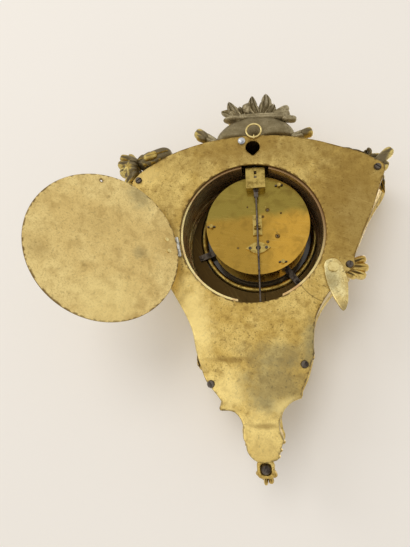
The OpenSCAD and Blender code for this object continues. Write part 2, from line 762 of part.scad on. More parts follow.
// A pierced hand: a ring near its tip and a stem, pointing up and turned by the hour
module hand_2d(turn, reach, boss, hole) {
    translate(CENTRE) rotate(turn)
    difference() {
        union() {
            circle(r = boss);
            polygon([[-boss * 0.5, 0], [boss * 0.5, 0], [0.7, reach * 0.55], [-0.7, reach * 0.55]]);
            translate([0, reach * 0.62]) circle(r = reach * 0.1);
            polygon([[-1.3, reach * 0.69], [1.3, reach * 0.69], [0.15, reach], [-0.15, reach]]);
        }
        circle(r = hole);
        translate([0, reach * 0.62]) circle(r = reach * 0.055);
    }
}
module hour_hand() {
    color(STEEL) slab(hour_hand_y - 0.6, hour_hand_y) hand_2d(55, hour_len, 4, hour_pipe_r + 0.02);
}
module minute_hand() {
    color(STEEL) slab(minute_hand_y - 0.6, minute_hand_y) hand_2d(-60, minute_len, 3.2, cannon_r + 0.02);
}
module hand_collet() {
    color(BRASS)
    difference() {
        union() {
            bar_y(CENTRE, 2.2, minute_hand_y - 1.5, minute_hand_y - 0.75);
            translate([CENTRE[0], minute_hand_y - 1.95, CENTRE[1]]) rotate([0, 60, 0])
                cylinder(r = 0.35, h = 5, center = true);
        }
        bar_y(CENTRE, centre_pivot_r + 0.02, minute_hand_y - 1.6, minute_hand_y);
    }
}

// Movement frame

module plate_2d() {
    difference() {
        disc_at(CENTRE, move_r);
        for (p = [INTER, THIRD, ESCAPE]) disc_at(p, pivot_r + pivot_clear);
        disc_at(CENTRE, centre_pivot_r + pivot_clear);
        disc_at(BARREL, barrel_pivot_r + pivot_clear);
        for (p = PILLARS) disc_at(p, pillar_tenon_r + 0.02);
    }
}
pillar_r = 2.5;
pillar_tenon_r = 1.5;
module movement_back_plate() {
    color(BRASS)
    slab(plates_in, move_back)
    difference() {
        plate_2d();
        disc_at(PALLET, pallet_r + pivot_clear);
        for (p = cock_screw_places()) disc_at(p, 0.6);
    }
}
module movement_front_plate() {
    color(BRASS) {
        slab(move_front, front_in)
        difference() {
            plate_2d();
            disc_at(PALLET, pivot_r + pivot_clear);
            for (p = FEET) disc_at(p, foot_r + 0.1);
            disc_at(CLICK, 0.6);
            for (b = BRACKETS) disc_at(at(b[0] * 37, b[1] * 37), 0.6);
        }
        bar_y(MINUTE, minute_stud_r, move_front - 3.3, move_front + 0.5);
    }
}
module pillars() {
    color(BRASS)
    for (p = PILLARS) difference() {
        union() {
            bar_y(p, pillar_r, front_in, plates_in);
            bar_y(p, pillar_tenon_r, move_front + 0.2, move_back + 2.4);
        }
        translate([p[0], move_back + 1, p[1]]) rotate([0, 90, 0]) cylinder(r = 0.62, h = 10, center = true);
    }
}
// A plain cross pin through p, sticking out by reach to each side
module pin_across(p, y, r, reach) {
    translate([p[0], y, p[1]]) rotate([0, 90, 0]) cylinder(r = r, h = 2 * reach, center = true);
}
module taper_pins() {
    color(STEEL) {
        for (p = PILLARS) pin_across(p, move_back + 1, 0.6, 3.2);
        for (p = FEET) pin_across(p, front_in + 1, 0.42, 2);
    }
}
module movement_brackets() {
    color(STEEL)
    difference() {
        for (b = BRACKETS) {
            slab(front_in, front_in + 1.2) strip(at(b[0] * 33.5, b[1] * 33.5), at(b[0] * 53, b[1] * 53), 5, 5);
            slab(case_front + case_wall, front_in) strip(at(b[0] * 49.4, b[1] * 49.4),
                at(b[0] * 52.4, b[1] * 52.4), 5, 5);
        }
        for (b = BRACKETS) {
            bar_y(at(b[0] * 37, b[1] * 37), 0.7, front_in - 1, front_in + 3);
            bar_y(at(b[0] * 50.6, b[1] * 50.6), 0.9, case_front, front_in + 3);
        }
        // each arm is filed out round the pillar that it passes
        for (p = PILLARS) bar_y(p, pillar_r + 0.3, front_in - 1, front_in + 3);
    }
}
CLICK = at(-10.6, -14.6);
function cock_screw_places() = [at(-6.2, -19.5), at(6.2, -19.5), at(0, 5.4), at(0, -7.6)];
module movement_screws() {
    color(STEEL) {
        for (i = [0:1]) slotted_screw(cock_screw_places()[i], move_back + cock_t, 1.2, 0.7, 0.55, 3, 40 + 70 * i);
        for (i = [2:3]) slotted_screw(cock_screw_places()[i], move_back + bridge_t, 1, 0.5, 0.55, 3, 10 + 50 * i);
        for (b = BRACKETS) {
            slotted_screw(at(b[0] * 37, b[1] * 37), front_in + 1.2, 1.4, 0.8, 0.55, 2.6, 50);
            slotted_screw(at(b[0] * 50.6, b[1] * 50.6), front_in + 1.2, 1.6, 0.9, 0.75, 3.2, 125);
        }
    }
}
block_w = 14.8;
block_t = 8;
block_low = 27.2;
block_high = 44.2;
// The block that the suspension spring hangs in, screwed to the back plate
module suspension_block() {
    color(BRASS)
    difference() {
        translate([move_x - block_w / 2, move_back, move_z + block_low])
            cube([block_w, block_t, block_high - block_low]);
        translate([move_x - 2.6, swing_y - 0.6, move_z + block_low - 1])
            cube([5.2, 1.2, spring_top - block_low + 1]);
        translate([move_x - 1.1, swing_y, move_z + 35.5]) cube([2.2, 10, 6]);
        translate([move_x, swing_y, move_z + 40]) cylinder(r = 1.05, h = 6);
    }
}
module regulating_screw() {
    color(STEEL)
    translate([move_x, swing_y, move_z]) {
        translate([0, 0, 40.4]) cylinder(r = 1, h = 4.6);
        translate([0, 0, block_high + 0.2]) cylinder(r = 1.9, h = 2);
    }
}
spring_top = 38.2;
module suspension_spring() {
    color(STEEL)
    translate([move_x - 2, swing_y - 0.1, move_z + bend_v + 0.25])
        cube([4, 0.2, spring_top - bend_v - 0.25]);
}
cock_t = 1.8;
// The diamond-shaped cock over the barrel's arbor
module barrel_cock() {
    color(BRASS)
    slab(move_back, move_back + cock_t)
    difference() {
        translate(BARREL) polygon([[-9.5, 0], [-4, 3.6], [0, 5], [4, 3.6], [9.5, 0], [4, -3.6], [0, -5], [-4, -3.6]]);
        disc_at(BARREL, barrel_pivot_r + pivot_clear);
        for (i = [0:1]) disc_at(cock_screw_places()[i], 0.6);
    }
}
bridge_t = 1.9;
bridge_w = 7;
// The small raised bridge over the centre pivot
module centre_bridge() {
    color(BRASS)
    difference() {
        translate([move_x - bridge_w / 2, move_back, move_z - 9.4]) cube([bridge_w, bridge_t, 16.4]);
        bar_y(CENTRE, centre_pivot_r + pivot_clear, move_back - 1, move_back + 4);
        translate([move_x - 2.2, move_back - 1, move_z - 5]) cube([4.4, 4, 2.6]);
        for (i = [2:3]) bar_y(cock_screw_places()[i], 0.6, move_back - 1, move_back + 4);
    }
}

// Going train

barrel_r = 16;
barrel_wall = 0.8;
barrel_floor = 0.3;
barrel_rear = layer(1.5);
barrel_front = layer(14);
great_front = layer(15.2);
arbor_core_r = 2;
module barrel() {
    color(BRASS)
    difference() {
        union() {
            bar_y(BARREL, barrel_r, barrel_front, barrel_rear);
            slab(great_front, barrel_front) wheel_2d(BARREL, great_n, m_great, turn_barrel);
        }
        bar_y(BARREL, barrel_r - barrel_wall, barrel_front + barrel_floor, barrel_rear - barrel_wall);
        bar_y(BARREL, arbor_core_r + pivot_clear, great_front - 1, barrel_rear + 1);
    }
}
spring_turns = 8;
spring_t = 0.45;
spring_in = 2.9;
spring_out = barrel_r - barrel_wall - 0.3;
spring_pitch = (spring_out - spring_in - spring_t) / spring_turns;
spring_steps = 24;
// Points of one edge of the coiled spring, r0 from the axis where it starts
function coil(r0) = [
    for (i = [0:spring_turns * spring_steps])
        let (a = i * 360 / spring_steps) (r0 + spring_pitch * i / spring_steps) * [cos(a), sin(a)]
];
module mainspring() {
    outer = coil(spring_in + spring_t);
    color(STEEL)
    slab(barrel_front + 1, barrel_rear - barrel_wall - 0.6)
        translate(BARREL)
            polygon(concat(coil(spring_in), [for (i = [len(outer) - 1:-1:0]) outer[i]]));
    echo(mainspring_gap_to_itself = spring_pitch - spring_t);
}
square_w = 2.9;
wind_tip = dial_back - dial_t - 1.8;
module barrel_arbor() {
    color(STEEL) {
        bar_y(BARREL, arbor_core_r, front_in + 0.2, plates_in - 0.2);
        bar_y(BARREL, barrel_pivot_r, move_front - 0.1, move_back + cock_t - 0.1);
        slab(wind_tip, move_front) translate(BARREL) square(square_w, center = true);
    }
}
ratchet_r = 6.2;
// The ratchet wheel's pointed teeth, straight on one side and sloping on the other
module ratchet_2d() {
    translate(BARREL)
    difference() {
        polygon([
            for (i = [0:ratchet_n - 1]) let (p = 360 / ratchet_n, a = i * p)
                each [ratchet_r * [cos(a), sin(a)], (ratchet_r - 0.9) * [cos(a + 1.5), sin(a + 1.5)]]
        ]);
        square(square_w + 0.04, center = true);
    }
}
ratchet_y = move_front - 0.5;
ratchet_t = 1.1;
module ratchet_wheel() {
    color(STEEL) slab(ratchet_y - ratchet_t, ratchet_y) ratchet_2d();
}
// A point of the click, r from the ratchet's axis in the direction a
function off_barrel(r, a) = BARREL + r * [cos(a), sin(a)];
// The click rides just over the tips of the ratchet's teeth and hooks back towards its shaft
module click() {
    tip = ratchet_r + 0.12;
    color(STEEL)
    difference() {
        union() {
            bar_y(CLICK, 1.9, ratchet_y - ratchet_t, ratchet_y);
            slab(ratchet_y - ratchet_t, ratchet_y) polygon([
                off_barrel(tip, 93.5), off_barrel(tip, 96), off_barrel(tip + 1, 103), off_barrel(tip + 2.2, 100),
                off_barrel(tip + 2.5, 85), off_barrel(tip + 2.5, 65), CLICK + [-0.6, 1.5], CLICK + [-1.5, -0.9],
                off_barrel(tip + 1, 72), off_barrel(tip + 0.8, 93.2)
            ]);
        }
        bar_y(CLICK, click_shaft_r + pivot_clear, ratchet_y - 3, ratchet_y + 1);
    }
}
click_shaft_r = 0.8;
module click_spring() {
    color(STEEL) {
        slab(ratchet_y - 0.9, ratchet_y - 0.2) {
            strip(CLICK + [9.5, 3.2], CLICK + [-3, 3.1], 0.5, 0.4);
        }
        bar_y(CLICK + [9.5, 3.2], 1, move_front - 1.5, move_front);
        bar_y(CLICK, click_shaft_r, move_front - 1.9, move_front);
        bar_y(CLICK, 1.6, move_front - 2.3, move_front - 1.8);
    }
}
module intermediate_wheel() {
    color(BRASS) {
        arbor(INTER, 1, pivot_r);
        slab(layer(17), layer(12.5)) pinion_2d(INTER, inter_pin_n, m_great, turn_inter);
        slab(layer(19), layer(18)) difference() {
            wheel_2d(INTER, inter_n, m_inter, turn_inter);
            windows(INTER, 2.6, inter_n * m_inter / 2 - 1.8, 5);
        }
    }
}
module centre_wheel() {
    color(BRASS)
    difference() {
        union() {
            bar_y(CENTRE, 1.15, front_in + 0.2, plates_in - 0.2);
            bar_y(CENTRE, centre_pivot_r, minute_hand_y - 2.6, move_back + bridge_t - 0.1);
            slab(layer(20), layer(17)) pinion_2d(CENTRE, centre_pin_n, m_inter, turn_centre);
            slab(layer(22.5), layer(21.5)) difference() {
                wheel_2d(CENTRE, centre_n, m_centre, turn_centre);
                windows(CENTRE, 2.2, centre_n * m_centre / 2 - 1.3, 5);
            }
        }
        translate([CENTRE[0], minute_hand_y - 1.95, CENTRE[1]]) rotate([0, 60, 0])
            cylinder(r = 0.37, h = 5, center = true);
    }
}
module third_wheel() {
    color(BRASS) {
        arbor(THIRD, 0.65, pivot_r);
        slab(layer(23.5), layer(20.5)) pinion_2d(THIRD, third_pin_n, m_centre, turn_third);
        slab(layer(6.5), layer(5.5)) difference() {
            wheel_2d(THIRD, third_n, m_third, turn_third);
            windows(THIRD, 2, third_n * m_third / 2 - 1.2, 5);
        }
    }
}
escape_r = 8.9;
module escape_wheel() {
    color(BRASS) {
        arbor(ESCAPE, 0.6, pivot_r);
        slab(layer(7.5), layer(4.5)) pinion_2d(ESCAPE, escape_pin_n, m_third, turn_escape);
        slab(layer(3), layer(2)) difference() {
            translate(ESCAPE) rotate(escape_turn) polygon([
                for (i = [0:escape_n - 1]) let (p = 360 / escape_n, a = i * p)
                    each [(escape_r - 1.5) * [cos(a - 0.3 * p), sin(a - 0.3 * p)],
                          escape_r * [cos(a), sin(a)], escape_r * [cos(a + 0.1 * p), sin(a + 0.1 * p)],
                          (escape_r - 1.5) * [cos(a + 0.1 * p), sin(a + 0.1 * p)]]
            ]);
            windows(ESCAPE, 1.8, escape_r - 2.4, 4);
        }
    }
}
pallet_line = angle2(ESCAPE, PALLET);
pallet_half = 3.75 * 360 / escape_n;
// The wheel stands so that both pallets face a gap between teeth
escape_turn = pallet_line + pallet_half - 0.45 * 360 / escape_n;
pallet_clear = 0.4;
pallet_r = 0.7;
anchor_t = 1.8;
// The anchor spans seven and a half teeth and just clears them when it stands upright
module anchor() {
    color(STEEL) {
        bar_y(PALLET, 0.65, front_in + 0.2, plates_in - 0.2);
        bar_y(PALLET, pivot_r, move_front + 0.2, front_in + 1);
        bar_y(PALLET, pallet_r, plates_in - 1, move_back + 4.2);
        slab(layer(2.5 + anchor_t / 2), layer(2.5 - anchor_t / 2)) {
            disc_at(PALLET, 1.7);
            for (s = [-1, 1]) {
                way = [cos(pallet_line + s * pallet_half), sin(pallet_line + s * pallet_half)];
                elbow = ESCAPE + (escape_r + 3.2) * way;
                strip(PALLET, elbow, 2, 1.3);
                disc_at(elbow, 0.75);
                strip(elbow, ESCAPE + (escape_r + pallet_clear) * way, 1.3, 0.35);
            }
        }
    }
}
crutch_y = move_back + 3;
fork_v = -3;
fork_r = 0.8;
fork_t = 1.4;
// The crutch hangs from the anchor's arbor and its fork holds the pendulum rod
module crutch() {
    color(BRASS)
    difference() {
        union() {
            bar_y(PALLET, 1.9, crutch_y - 0.2, crutch_y + 1);
            slab(crutch_y, crutch_y + 0.8) strip(PALLET, at(0, fork_v + 1), 1.8, 1.3);
            slab(crutch_y, crutch_y + fork_t) strip(at(-2.6, fork_v), at(2.6, fork_v), 3, 3);
            for (s = [-1, 1]) bar_y(at(s * (rod_r + fork_r + 0.2), fork_v), fork_r, crutch_y, swing_y + 1.6);
        }
        bar_y(PALLET, pallet_r + 0.01, move_back, crutch_y + 2);
    }
}

// Pendulum

bend_v = 25;
module pendulum_rod() {
    color(STEEL) {
        translate([move_x, swing_y, move_z + bend_v - pendulum_len]) cylinder(r = rod_r, h = pendulum_len - 3);
        translate([move_x - 1.6, swing_y - 0.6, move_z + bend_v - 5]) cube([3.2, 1.2, 4.9]);
    }
}
module pendulum_bob() {
    color(BRASS)
    difference() {
        translate([move_x, swing_y + bob_t / 2, move_z + bend_v - pendulum_len]) rotate([90, 0, 0])
            cylinder(r = bob_r, h = bob_t);
        translate([move_x, swing_y, move_z + bend_v - pendulum_len - 1]) cylinder(r = rod_r + 0.02, h = bob_r + 3);
    }
}

case_body();
back_plate();
case_screws();
crest();
hinge_side_scroll();
latch_side_scroll();
latch_side_leaf();
hinge_side_leaf();
side_husks();
bottom_finial();
apron_ornament();
hanging_ring();
ring_staple();
top_pin();
rear_door();
door_hinge_leaf();
plate_hinge_leaf();
hinge_pin();
door_rivets();
plate_rivets();
turn_latch();
latch_rivet();
drum();
dial_ring();
dial();
dial_feet();
bezel();
glass();
bezel_hinge_pin();
hour_hand();
minute_hand();
hand_collet();
cannon_pinion();
minute_wheel();
hour_wheel();
movement_back_plate();
movement_front_plate();
pillars();
taper_pins();
movement_brackets();
movement_screws();
suspension_block();
regulating_screw();
suspension_spring();
barrel_cock();
centre_bridge();
barrel();
mainspring();
barrel_arbor();
ratchet_wheel();
click();
click_spring();
intermediate_wheel();
centre_wheel();
third_wheel();
escape_wheel();
anchor();
crutch();
pendulum_rod();
pendulum_bob();
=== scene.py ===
"""Alcove clock: a gilt wall clock lying on its face, seen from its back with the round rear door open.

All lengths in this file are millimetres in the model's own frame: X runs to the left of a viewer who looks
at the back, Y points out of the back, Z is up, and the origin is the hanging hole. build() turns them into
metres.
"""
import math

import bmesh
import bpy
import numpy as np
from mathutils import Matrix, Vector
from mathutils.geometry import delaunay_2d_cdt


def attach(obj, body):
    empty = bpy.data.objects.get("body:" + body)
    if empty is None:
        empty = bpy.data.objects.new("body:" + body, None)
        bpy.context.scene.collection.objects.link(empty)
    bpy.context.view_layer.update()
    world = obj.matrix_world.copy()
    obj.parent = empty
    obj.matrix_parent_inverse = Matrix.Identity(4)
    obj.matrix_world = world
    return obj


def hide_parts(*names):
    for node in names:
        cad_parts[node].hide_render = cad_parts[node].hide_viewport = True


bl_info = {
    "name": "Alcove Clock",
    "version": (1, 0, 0),
    "blender": (4, 5, 0),
    "location": "3D View > Sidebar > Clock",
    "description": "Builds a gilt alcove clock round its packed model",
    "category": "Add Mesh",
}

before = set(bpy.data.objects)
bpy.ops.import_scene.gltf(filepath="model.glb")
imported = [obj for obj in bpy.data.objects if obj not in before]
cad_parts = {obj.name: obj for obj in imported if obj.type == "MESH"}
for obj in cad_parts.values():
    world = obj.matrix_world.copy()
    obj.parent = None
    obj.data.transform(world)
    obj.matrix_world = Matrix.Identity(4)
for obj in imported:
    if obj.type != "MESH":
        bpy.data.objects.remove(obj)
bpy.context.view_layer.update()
MM = 0.001
FULL_TURN = 2 * np.pi

# Places and outlines that the pieces share with the model
PLATE_THICK = 2.0
PLATE_FRONT = -2.05
KEYHOLE_R = 5.4
CASE_FRONT = -44.0
SEAT_Y = -46.0
SEAT_R = 58.5
DIAL_FRONT = -47.8
DIAL_R = 52.0
MIDDLE = np.array([-1.0, -60.0])
CASE_MIDDLE = np.array([-1.0, -70.0])
OPENING = np.array([3.5, -69.0])
OPENING_R = 54.2
HINGE = np.array([58.759, 1.6, -79.242])
HINGE_LEAN = 10.5
DOOR_OPEN = 140.0
DOOR_REACH = 56.2
DOOR_R = 53.8
LATCH_AT = np.array([-53.0, -100.0])
LATCH_LENGTH = 31.5
MOVEMENT_BACK = -12.1
SCREWS = np.array([[92, -21], [-91, -25], [-64.6, -98.3], [35.4, -179.6], [-29, -167]], float)
FINIAL_SCREW = np.array([0.0, -234.0])
PLATE_OUTLINE = [
    (0, 10.2), (-24, 8), (-46, 2.5), (-66, -5.5), (-80, -11.5), (-90, -18), (-96.5, -25), (-90, -43),
    (-83, -61), (-74.5, -79), (-68.8, -93), (-67.6, -100.5), (-58.5, -107), (-49, -118), (-43, -127),
    (-38.5, -137), (-36.5, -150), (-35.3, -161), (-33, -168.5), (-30, -177), (-26.4, -184.5),
    (-25.9, -188.7), (-25.4, -188.9), (-21, -190.5), (-16.8, -193.6), (-12.3, -199), (-10.5, -205),
    (-10.2, -209.5), (-12, -213.5), (-12.5, -216.5), (-11, -220), (-9.3, -224.7), (-8.3, -227.8),
    (-4, -229.2), (0, -230), (5, -229.5), (9, -227), (11.8, -223), (12.6, -218.5), (14.2, -214.5),
    (14, -208), (15.8, -202.3), (20, -198.3), (25.2, -197.2), (28.9, -197.4), (30, -195.4),
    (28.4, -191.8), (31.5, -187), (38.6, -178), (42.5, -168), (45.8, -157), (48.5, -143), (53, -132),
    (59, -121), (66, -109), (75, -94), (82, -79), (87, -61), (92, -43), (98, -25), (91.5, -15),
    (80, -7.5), (62, 1.5), (40, 7.5), (20, 10)]
CAVITY_OUTLINE = [
    (0, 7), (-44, -3), (-74, -15), (-87, -27), (-78, -60), (-62, -90), (-45, -116), (-34, -137),
    (-29, -160), (-21, -178), (-8, -184), (12, -184), (27, -178), (37, -162), (43, -143), (54, -122),
    (70, -94), (81, -60), (88, -28), (76, -13), (44, 0)]
# The latch's outline, in lengths of the latch from its rivet
LATCH_OUTLINE = [
    (0, 0.2), (0.15, 0.15), (0.2, 0), (0.18, -0.28), (0.11, -0.54), (0.02, -0.76), (-0.13, -1),
    (-0.24, -0.85), (-0.28, -0.57), (-0.28, -0.26), (-0.2, 0.03), (-0.11, 0.16)]
# Rings of the casting's outer wall, from the back edge to the front's border, and of its inner wall: growth,
# depth, share and lift
CASE_SIDE = [
    (0, PLATE_FRONT, 1, 0), (0.02, -5, 1, 0.4), (0.12, -15.4, 1, 2), (0.45, -29.9, 1, 10),
    (0.98, -39.6, 1, 16.5), (1.0, -41.5, 0.995, 17.5), (0.95, -43.2, 0.97, 18), (0.7, -43.9, 0.9, 16.5),
    (0.5, CASE_FRONT, 0.8, 14)]
CASE_INSIDE = [
    (0.2, -41, 0.71, 0), (0.5, -41, 0.96, 26), (0.3, -29.9, 1, 14), (0, -8, 1, 0), (0, PLATE_FRONT, 1, 0)]
# Pivots that show on the movement's back plate: x, z and the radius of the oil cup, and how near the axis
# the section of a pivot's end comes
PIVOTS = [
    (-9.3, -48.7, 1.7), (-16.0, -70.4, 2.0), (-8.4, -74.6, 1.3), (-5.5, -54.0, 1.2), (-19.5, -52.0, 0.9),
    (14.5, -78.5, 0.9), (6.2, -45.2, 0.8)]
NEAR_AXIS = 0.001
# The dial's figures: their height, the radius of their middle, the gap between letters in heights, the
# thickness of thick and thin strokes, and each letter's width and strokes
FIGURE_HIGH = 8.4
FIGURE_R = 37.5
LETTER_GAP = 0.12
THICK = 1.25
THIN = 0.4
FIGURES = {
    "I": (0.3, [(0, 0, THICK)]),
    "V": (0.72, [(0.28, 0, THICK), (0.28, 0.56, THIN)]),
    "X": (0.76, [(0.6, 0, THICK), (0, 0.6, THIN)]),
}
# The table's depth, and the camera's place, the point it looks at and its roll
TABLE_Y = -60.5
CAMERA_PLACE = Vector((-4.88, 292.97, -171.95))
CAMERA_AIM = Vector((38.81, 0.0, -100.41))
CAMERA_ROLL = math.radians(0.585)


# Curves and surfaces

def spline(points, count, closed=True):
    """A Catmull-Rom curve through the points, with count points from one to the next: a cubic between each
    two that leaves a point along the chord of its neighbours. An open curve repeats its end points."""
    p = np.asarray(points, float)
    if not closed:
        p = np.vstack([p[:1], p, p[-1:]])
    t = np.linspace(0, 1, count, endpoint=False)[None, :, None]
    a, b, c, d = (np.roll(p, k, 0)[:, None, :] for k in (1, 0, -1, -2))
    q = 0.5 * (2 * b + (c - a) * t + (2 * a - 5 * b + 4 * c - d) * t ** 2
               + (3 * b - a - 3 * c + d) * t ** 3)
    if not closed:
        return np.vstack([q[1:-2].reshape(-1, p.shape[1]), p[-1:]])
    return q.reshape(-1, p.shape[1])


def even(curve, count):
    """Points at equal steps of length along a closed curve, read from its summed chord lengths."""
    c = np.vstack([curve, curve[:1]])
    s = np.concatenate([[0], np.cumsum(np.linalg.norm(np.diff(c, axis=0), axis=1))])
    u = np.linspace(0, s[-1], count, endpoint=False)
    return np.stack([np.interp(u, s, c[:, k]) for k in range(2)], 1)


def outward(curve):
    """Unit normals of a closed flat curve that point away from its inside: the chord of a point's
    neighbours, turned by a right angle, with the sign of the area that the curve runs round."""
    d = np.roll(curve, -1, 0) - np.roll(curve, 1, 0)
    n = np.stack([d[:, 1], -d[:, 0]], 1) / np.maximum(np.linalg.norm(d, axis=1), 1e-9)[:, None]
    x, z = curve.T
    return n * np.sign(np.sum(x * np.roll(z, -1) - z * np.roll(x, -1)))


def ease(a, b, x):
    """A smooth step from 0 at a to 1 at b: 3 s squared less 2 s cubed."""
    s = np.clip((x - a) / (b - a), 0, 1)
    return s * s * (3 - 2 * s)


def hump(x, middle, width):
    """A bell of height 1: the exponential of minus the square of the distance from the middle in widths."""
    return np.exp(-((x - middle) / width) ** 2)


def circle(centre, r, count=96):
    """A circle: its centre plus r times the cosine and sine of equal angles."""
    a = np.linspace(0, FULL_TURN, count, endpoint=False)
    return np.asarray(centre) + r * np.stack([np.cos(a), np.sin(a)], 1)


def steps(rows, cols):
    """Shares from 0 to 1 down the rows of a grid, and angles round its columns."""
    return np.linspace(0, 1, rows)[:, None], np.linspace(0, FULL_TURN, cols, endpoint=False)[None, :]


def beside(a, b, t, across):
    """Flat x and z at share t of the way from a to b, and across to the left of the way."""
    a, b = np.asarray(a, float), np.asarray(b, float)
    way = b - a
    side = np.array([-way[1], way[0]]) / np.linalg.norm(way)
    return a[0] + way[0] * t + side[0] * across, a[1] + way[1] * t + side[1] * across


def skin(grid, relief, wrap_rows=False):
    """A surface from a grid of rows x columns x 3 points, with the relief value of each point. The columns
    wrap round, and the last row may join the first."""
    rows, cols = grid.shape[:2]
    i, j = np.meshgrid(np.arange(rows if wrap_rows else rows - 1), np.arange(cols), indexing="ij")
    k, n = (i + 1) % rows, (j + 1) % cols
    faces = np.stack([i * cols + j, i * cols + n, k * cols + n, k * cols + j], -1).reshape(-1, 4)
    return grid.reshape(-1, 3), faces, np.broadcast_to(relief, (rows, cols)).reshape(-1)


def solid(x, y, z, relief, wrap_rows=False):
    """A surface from the coordinates and the relief over a grid, the relief kept within 0 and 1."""
    return skin(np.stack(np.broadcast_arrays(x, y, z), -1), np.clip(relief, 0, 1), wrap_rows)


def inside(points, loops):
    """Which points lie inside the loops: a ray to the right crosses them an odd number of times."""
    hit = np.zeros(len(points), bool)
    x, z = points[:, :1], points[:, 1:]
    for a in loops:
        b = np.roll(a, -1, 0)
        spans = (a[:, 1] > z) != (b[:, 1] > z)
        rise = np.where(b[:, 1] == a[:, 1], 1e-9, b[:, 1] - a[:, 1])
        cross = a[:, 0] + (z - a[:, 1]) / rise * (b[:, 0] - a[:, 0])
        hit ^= (np.sum(spans & (x < cross), 1) % 2).astype(bool)
    return hit


def gap_to(points, loops):
    """The distance of each point from the nearest point of any loop, worked out a batch at a time."""
    every = np.vstack(loops)
    batch = 4000
    return np.concatenate([np.sqrt(((points[i:i + batch, None] - every[None]) ** 2).sum(-1)).min(1)
                           for i in range(0, len(points), batch)])


def sheet(outline, holes, y0, y1, edge, spacing, lift=None, crown=0.0, crown_width=3.0, border=1.3):
    """A flat piece with holes and rounded rims, from y0 to y1. Its faces are triangles over the loops drawn
    in by edge, second loops a border further in, and a grid of points between them. A rim is a half round:
    at angle a from 90 to -90 degrees the loop moves out by edge times cos a and stands sin a of half the
    thickness from the middle. The faces rise by crown times one less the exponential of minus the distance
    from the rim over crown_width. lift(x, z) moves everything in Y."""
    loops = [np.asarray(p, float) for p in [outline] + holes]
    signs = [1] + [-1] * len(holes)
    inner = [p - s * edge * outward(p) for p, s in zip(loops, signs)]
    second = [p - s * (edge + border) * outward(p) for p, s in zip(loops, signs)]
    low, high = loops[0].min(0), loops[0].max(0)
    gx, gz = np.meshgrid(np.arange(low[0], high[0], spacing), np.arange(low[1], high[1], spacing * 0.87))
    # every other row of the grid is set over by half a step
    gx = gx + spacing / 2 * (np.arange(len(gx)) % 2)[:, None]
    points = np.stack([gx.ravel(), gz.ravel()], 1)
    points = points[inside(points, second)]
    points = points[gap_to(points, second) > spacing * 0.45]
    drawn = inner + second
    starts = np.cumsum([0] + [len(p) for p in drawn])
    edges = np.vstack([np.stack([a + np.arange(len(p)), a + (np.arange(len(p)) + 1) % len(p)], 1)
                       for a, p in zip(starts, drawn)])
    flat = [Vector(v) for v in np.vstack(drawn + [points]).tolist()]
    made = delaunay_2d_cdt(flat, edges.tolist(), [], 0, 1e-7)
    face_xz = np.array([tuple(v) for v in made[0]])
    tris = np.array([list(f) for f in made[2]])
    tris = tris[inside(face_xz[tris].mean(1), inner)]
    from_rim = gap_to(face_xz, inner)
    rise = crown * (1 - np.exp(-from_rim / crown_width))
    parts = []
    for y, sign in ((y1, 1), (y0, -1)):
        grid = np.stack([face_xz[:, 0], y + sign * rise, face_xz[:, 1]], 1)
        parts.append((grid, tris[:, ::sign], 0.45 + 0.4 * np.clip(1 - from_rim / border, 0, 1)))
    a = np.radians(np.linspace(90, -90, 7))[:, None]
    for p, q in zip(loops, inner):
        x, z = (q + (p - q) * np.cos(a)[..., None]).transpose(2, 0, 1)
        parts.append(solid(x, (y0 + y1) / 2 + np.sin(a) * (y1 - y0) / 2, z, np.cos(a) * 0.5 + 0.5))
    if lift is not None:
        for v, _, _ in parts:
            v[:, 1] += lift(v[:, 0], v[:, 2])
    return parts


def lathe(profile, centre, count=160, ripple=None):
    """A turned piece about a line along Y: each profile point (radius, y) runs round a circle.
    ripple(angle, profile) adds to the radius. The profile closes on itself."""
    a = np.linspace(0, FULL_TURN, count, endpoint=False)[None, :]
    p = np.asarray(profile, float)
    r = p[:, :1] + (0 if ripple is None else ripple(a, p))
    return solid(centre[0] + r * np.cos(a), p[:, 1:], centre[1] + r * np.sin(a), 0.5, wrap_rows=True)


def leaf(a, b, width, bend=0.0, y=-12.0, depth=8.0, curl=0.0, lobes=4, blunt=1.0):
    """A cast acanthus leaf from a to b. Its middle line bows sideways by bend and rises by curl at the tip.
    The half width is half of width times the sine of pi t^0.8, to the power blunt, scalloped by the absolute
    sine of the lobes. Round its section, at angle p, it stands cos p of the width across and sin p of the
    depth high, less a groove on each side of the middle vein and with ribs that lean forward to the edge."""
    t, p = steps(44, 36)
    body = np.clip(np.sin(np.pi * t ** 0.8), 0, 1) ** blunt
    scallop = 0.8 + 0.2 * np.abs(np.sin(np.pi * lobes * t)) ** 0.6
    c = np.cos(p)
    x, z = beside(a, b, t, bend * 4 * t * (1 - t) + width / 2 * body * scallop * c)
    ribs = np.cos(FULL_TURN * (lobes * t - 0.9 * np.abs(c)))
    vein = hump(c, 0, 0.16)
    groove = hump(np.abs(c), 0.34, 0.16)
    form = 0.78 + 0.3 * vein - 0.28 * groove + 0.12 * ribs * np.abs(c)
    high = depth / 2 * np.sqrt(body) * np.sin(p) * form
    relief = 0.35 + 0.55 * vein - 0.5 * groove + 0.3 * ribs * np.abs(c) + 0.35 * ease(0.75, 1, np.abs(c))
    return solid(x, y - curl * ease(0.35, 1.0, t) + high, z, relief)


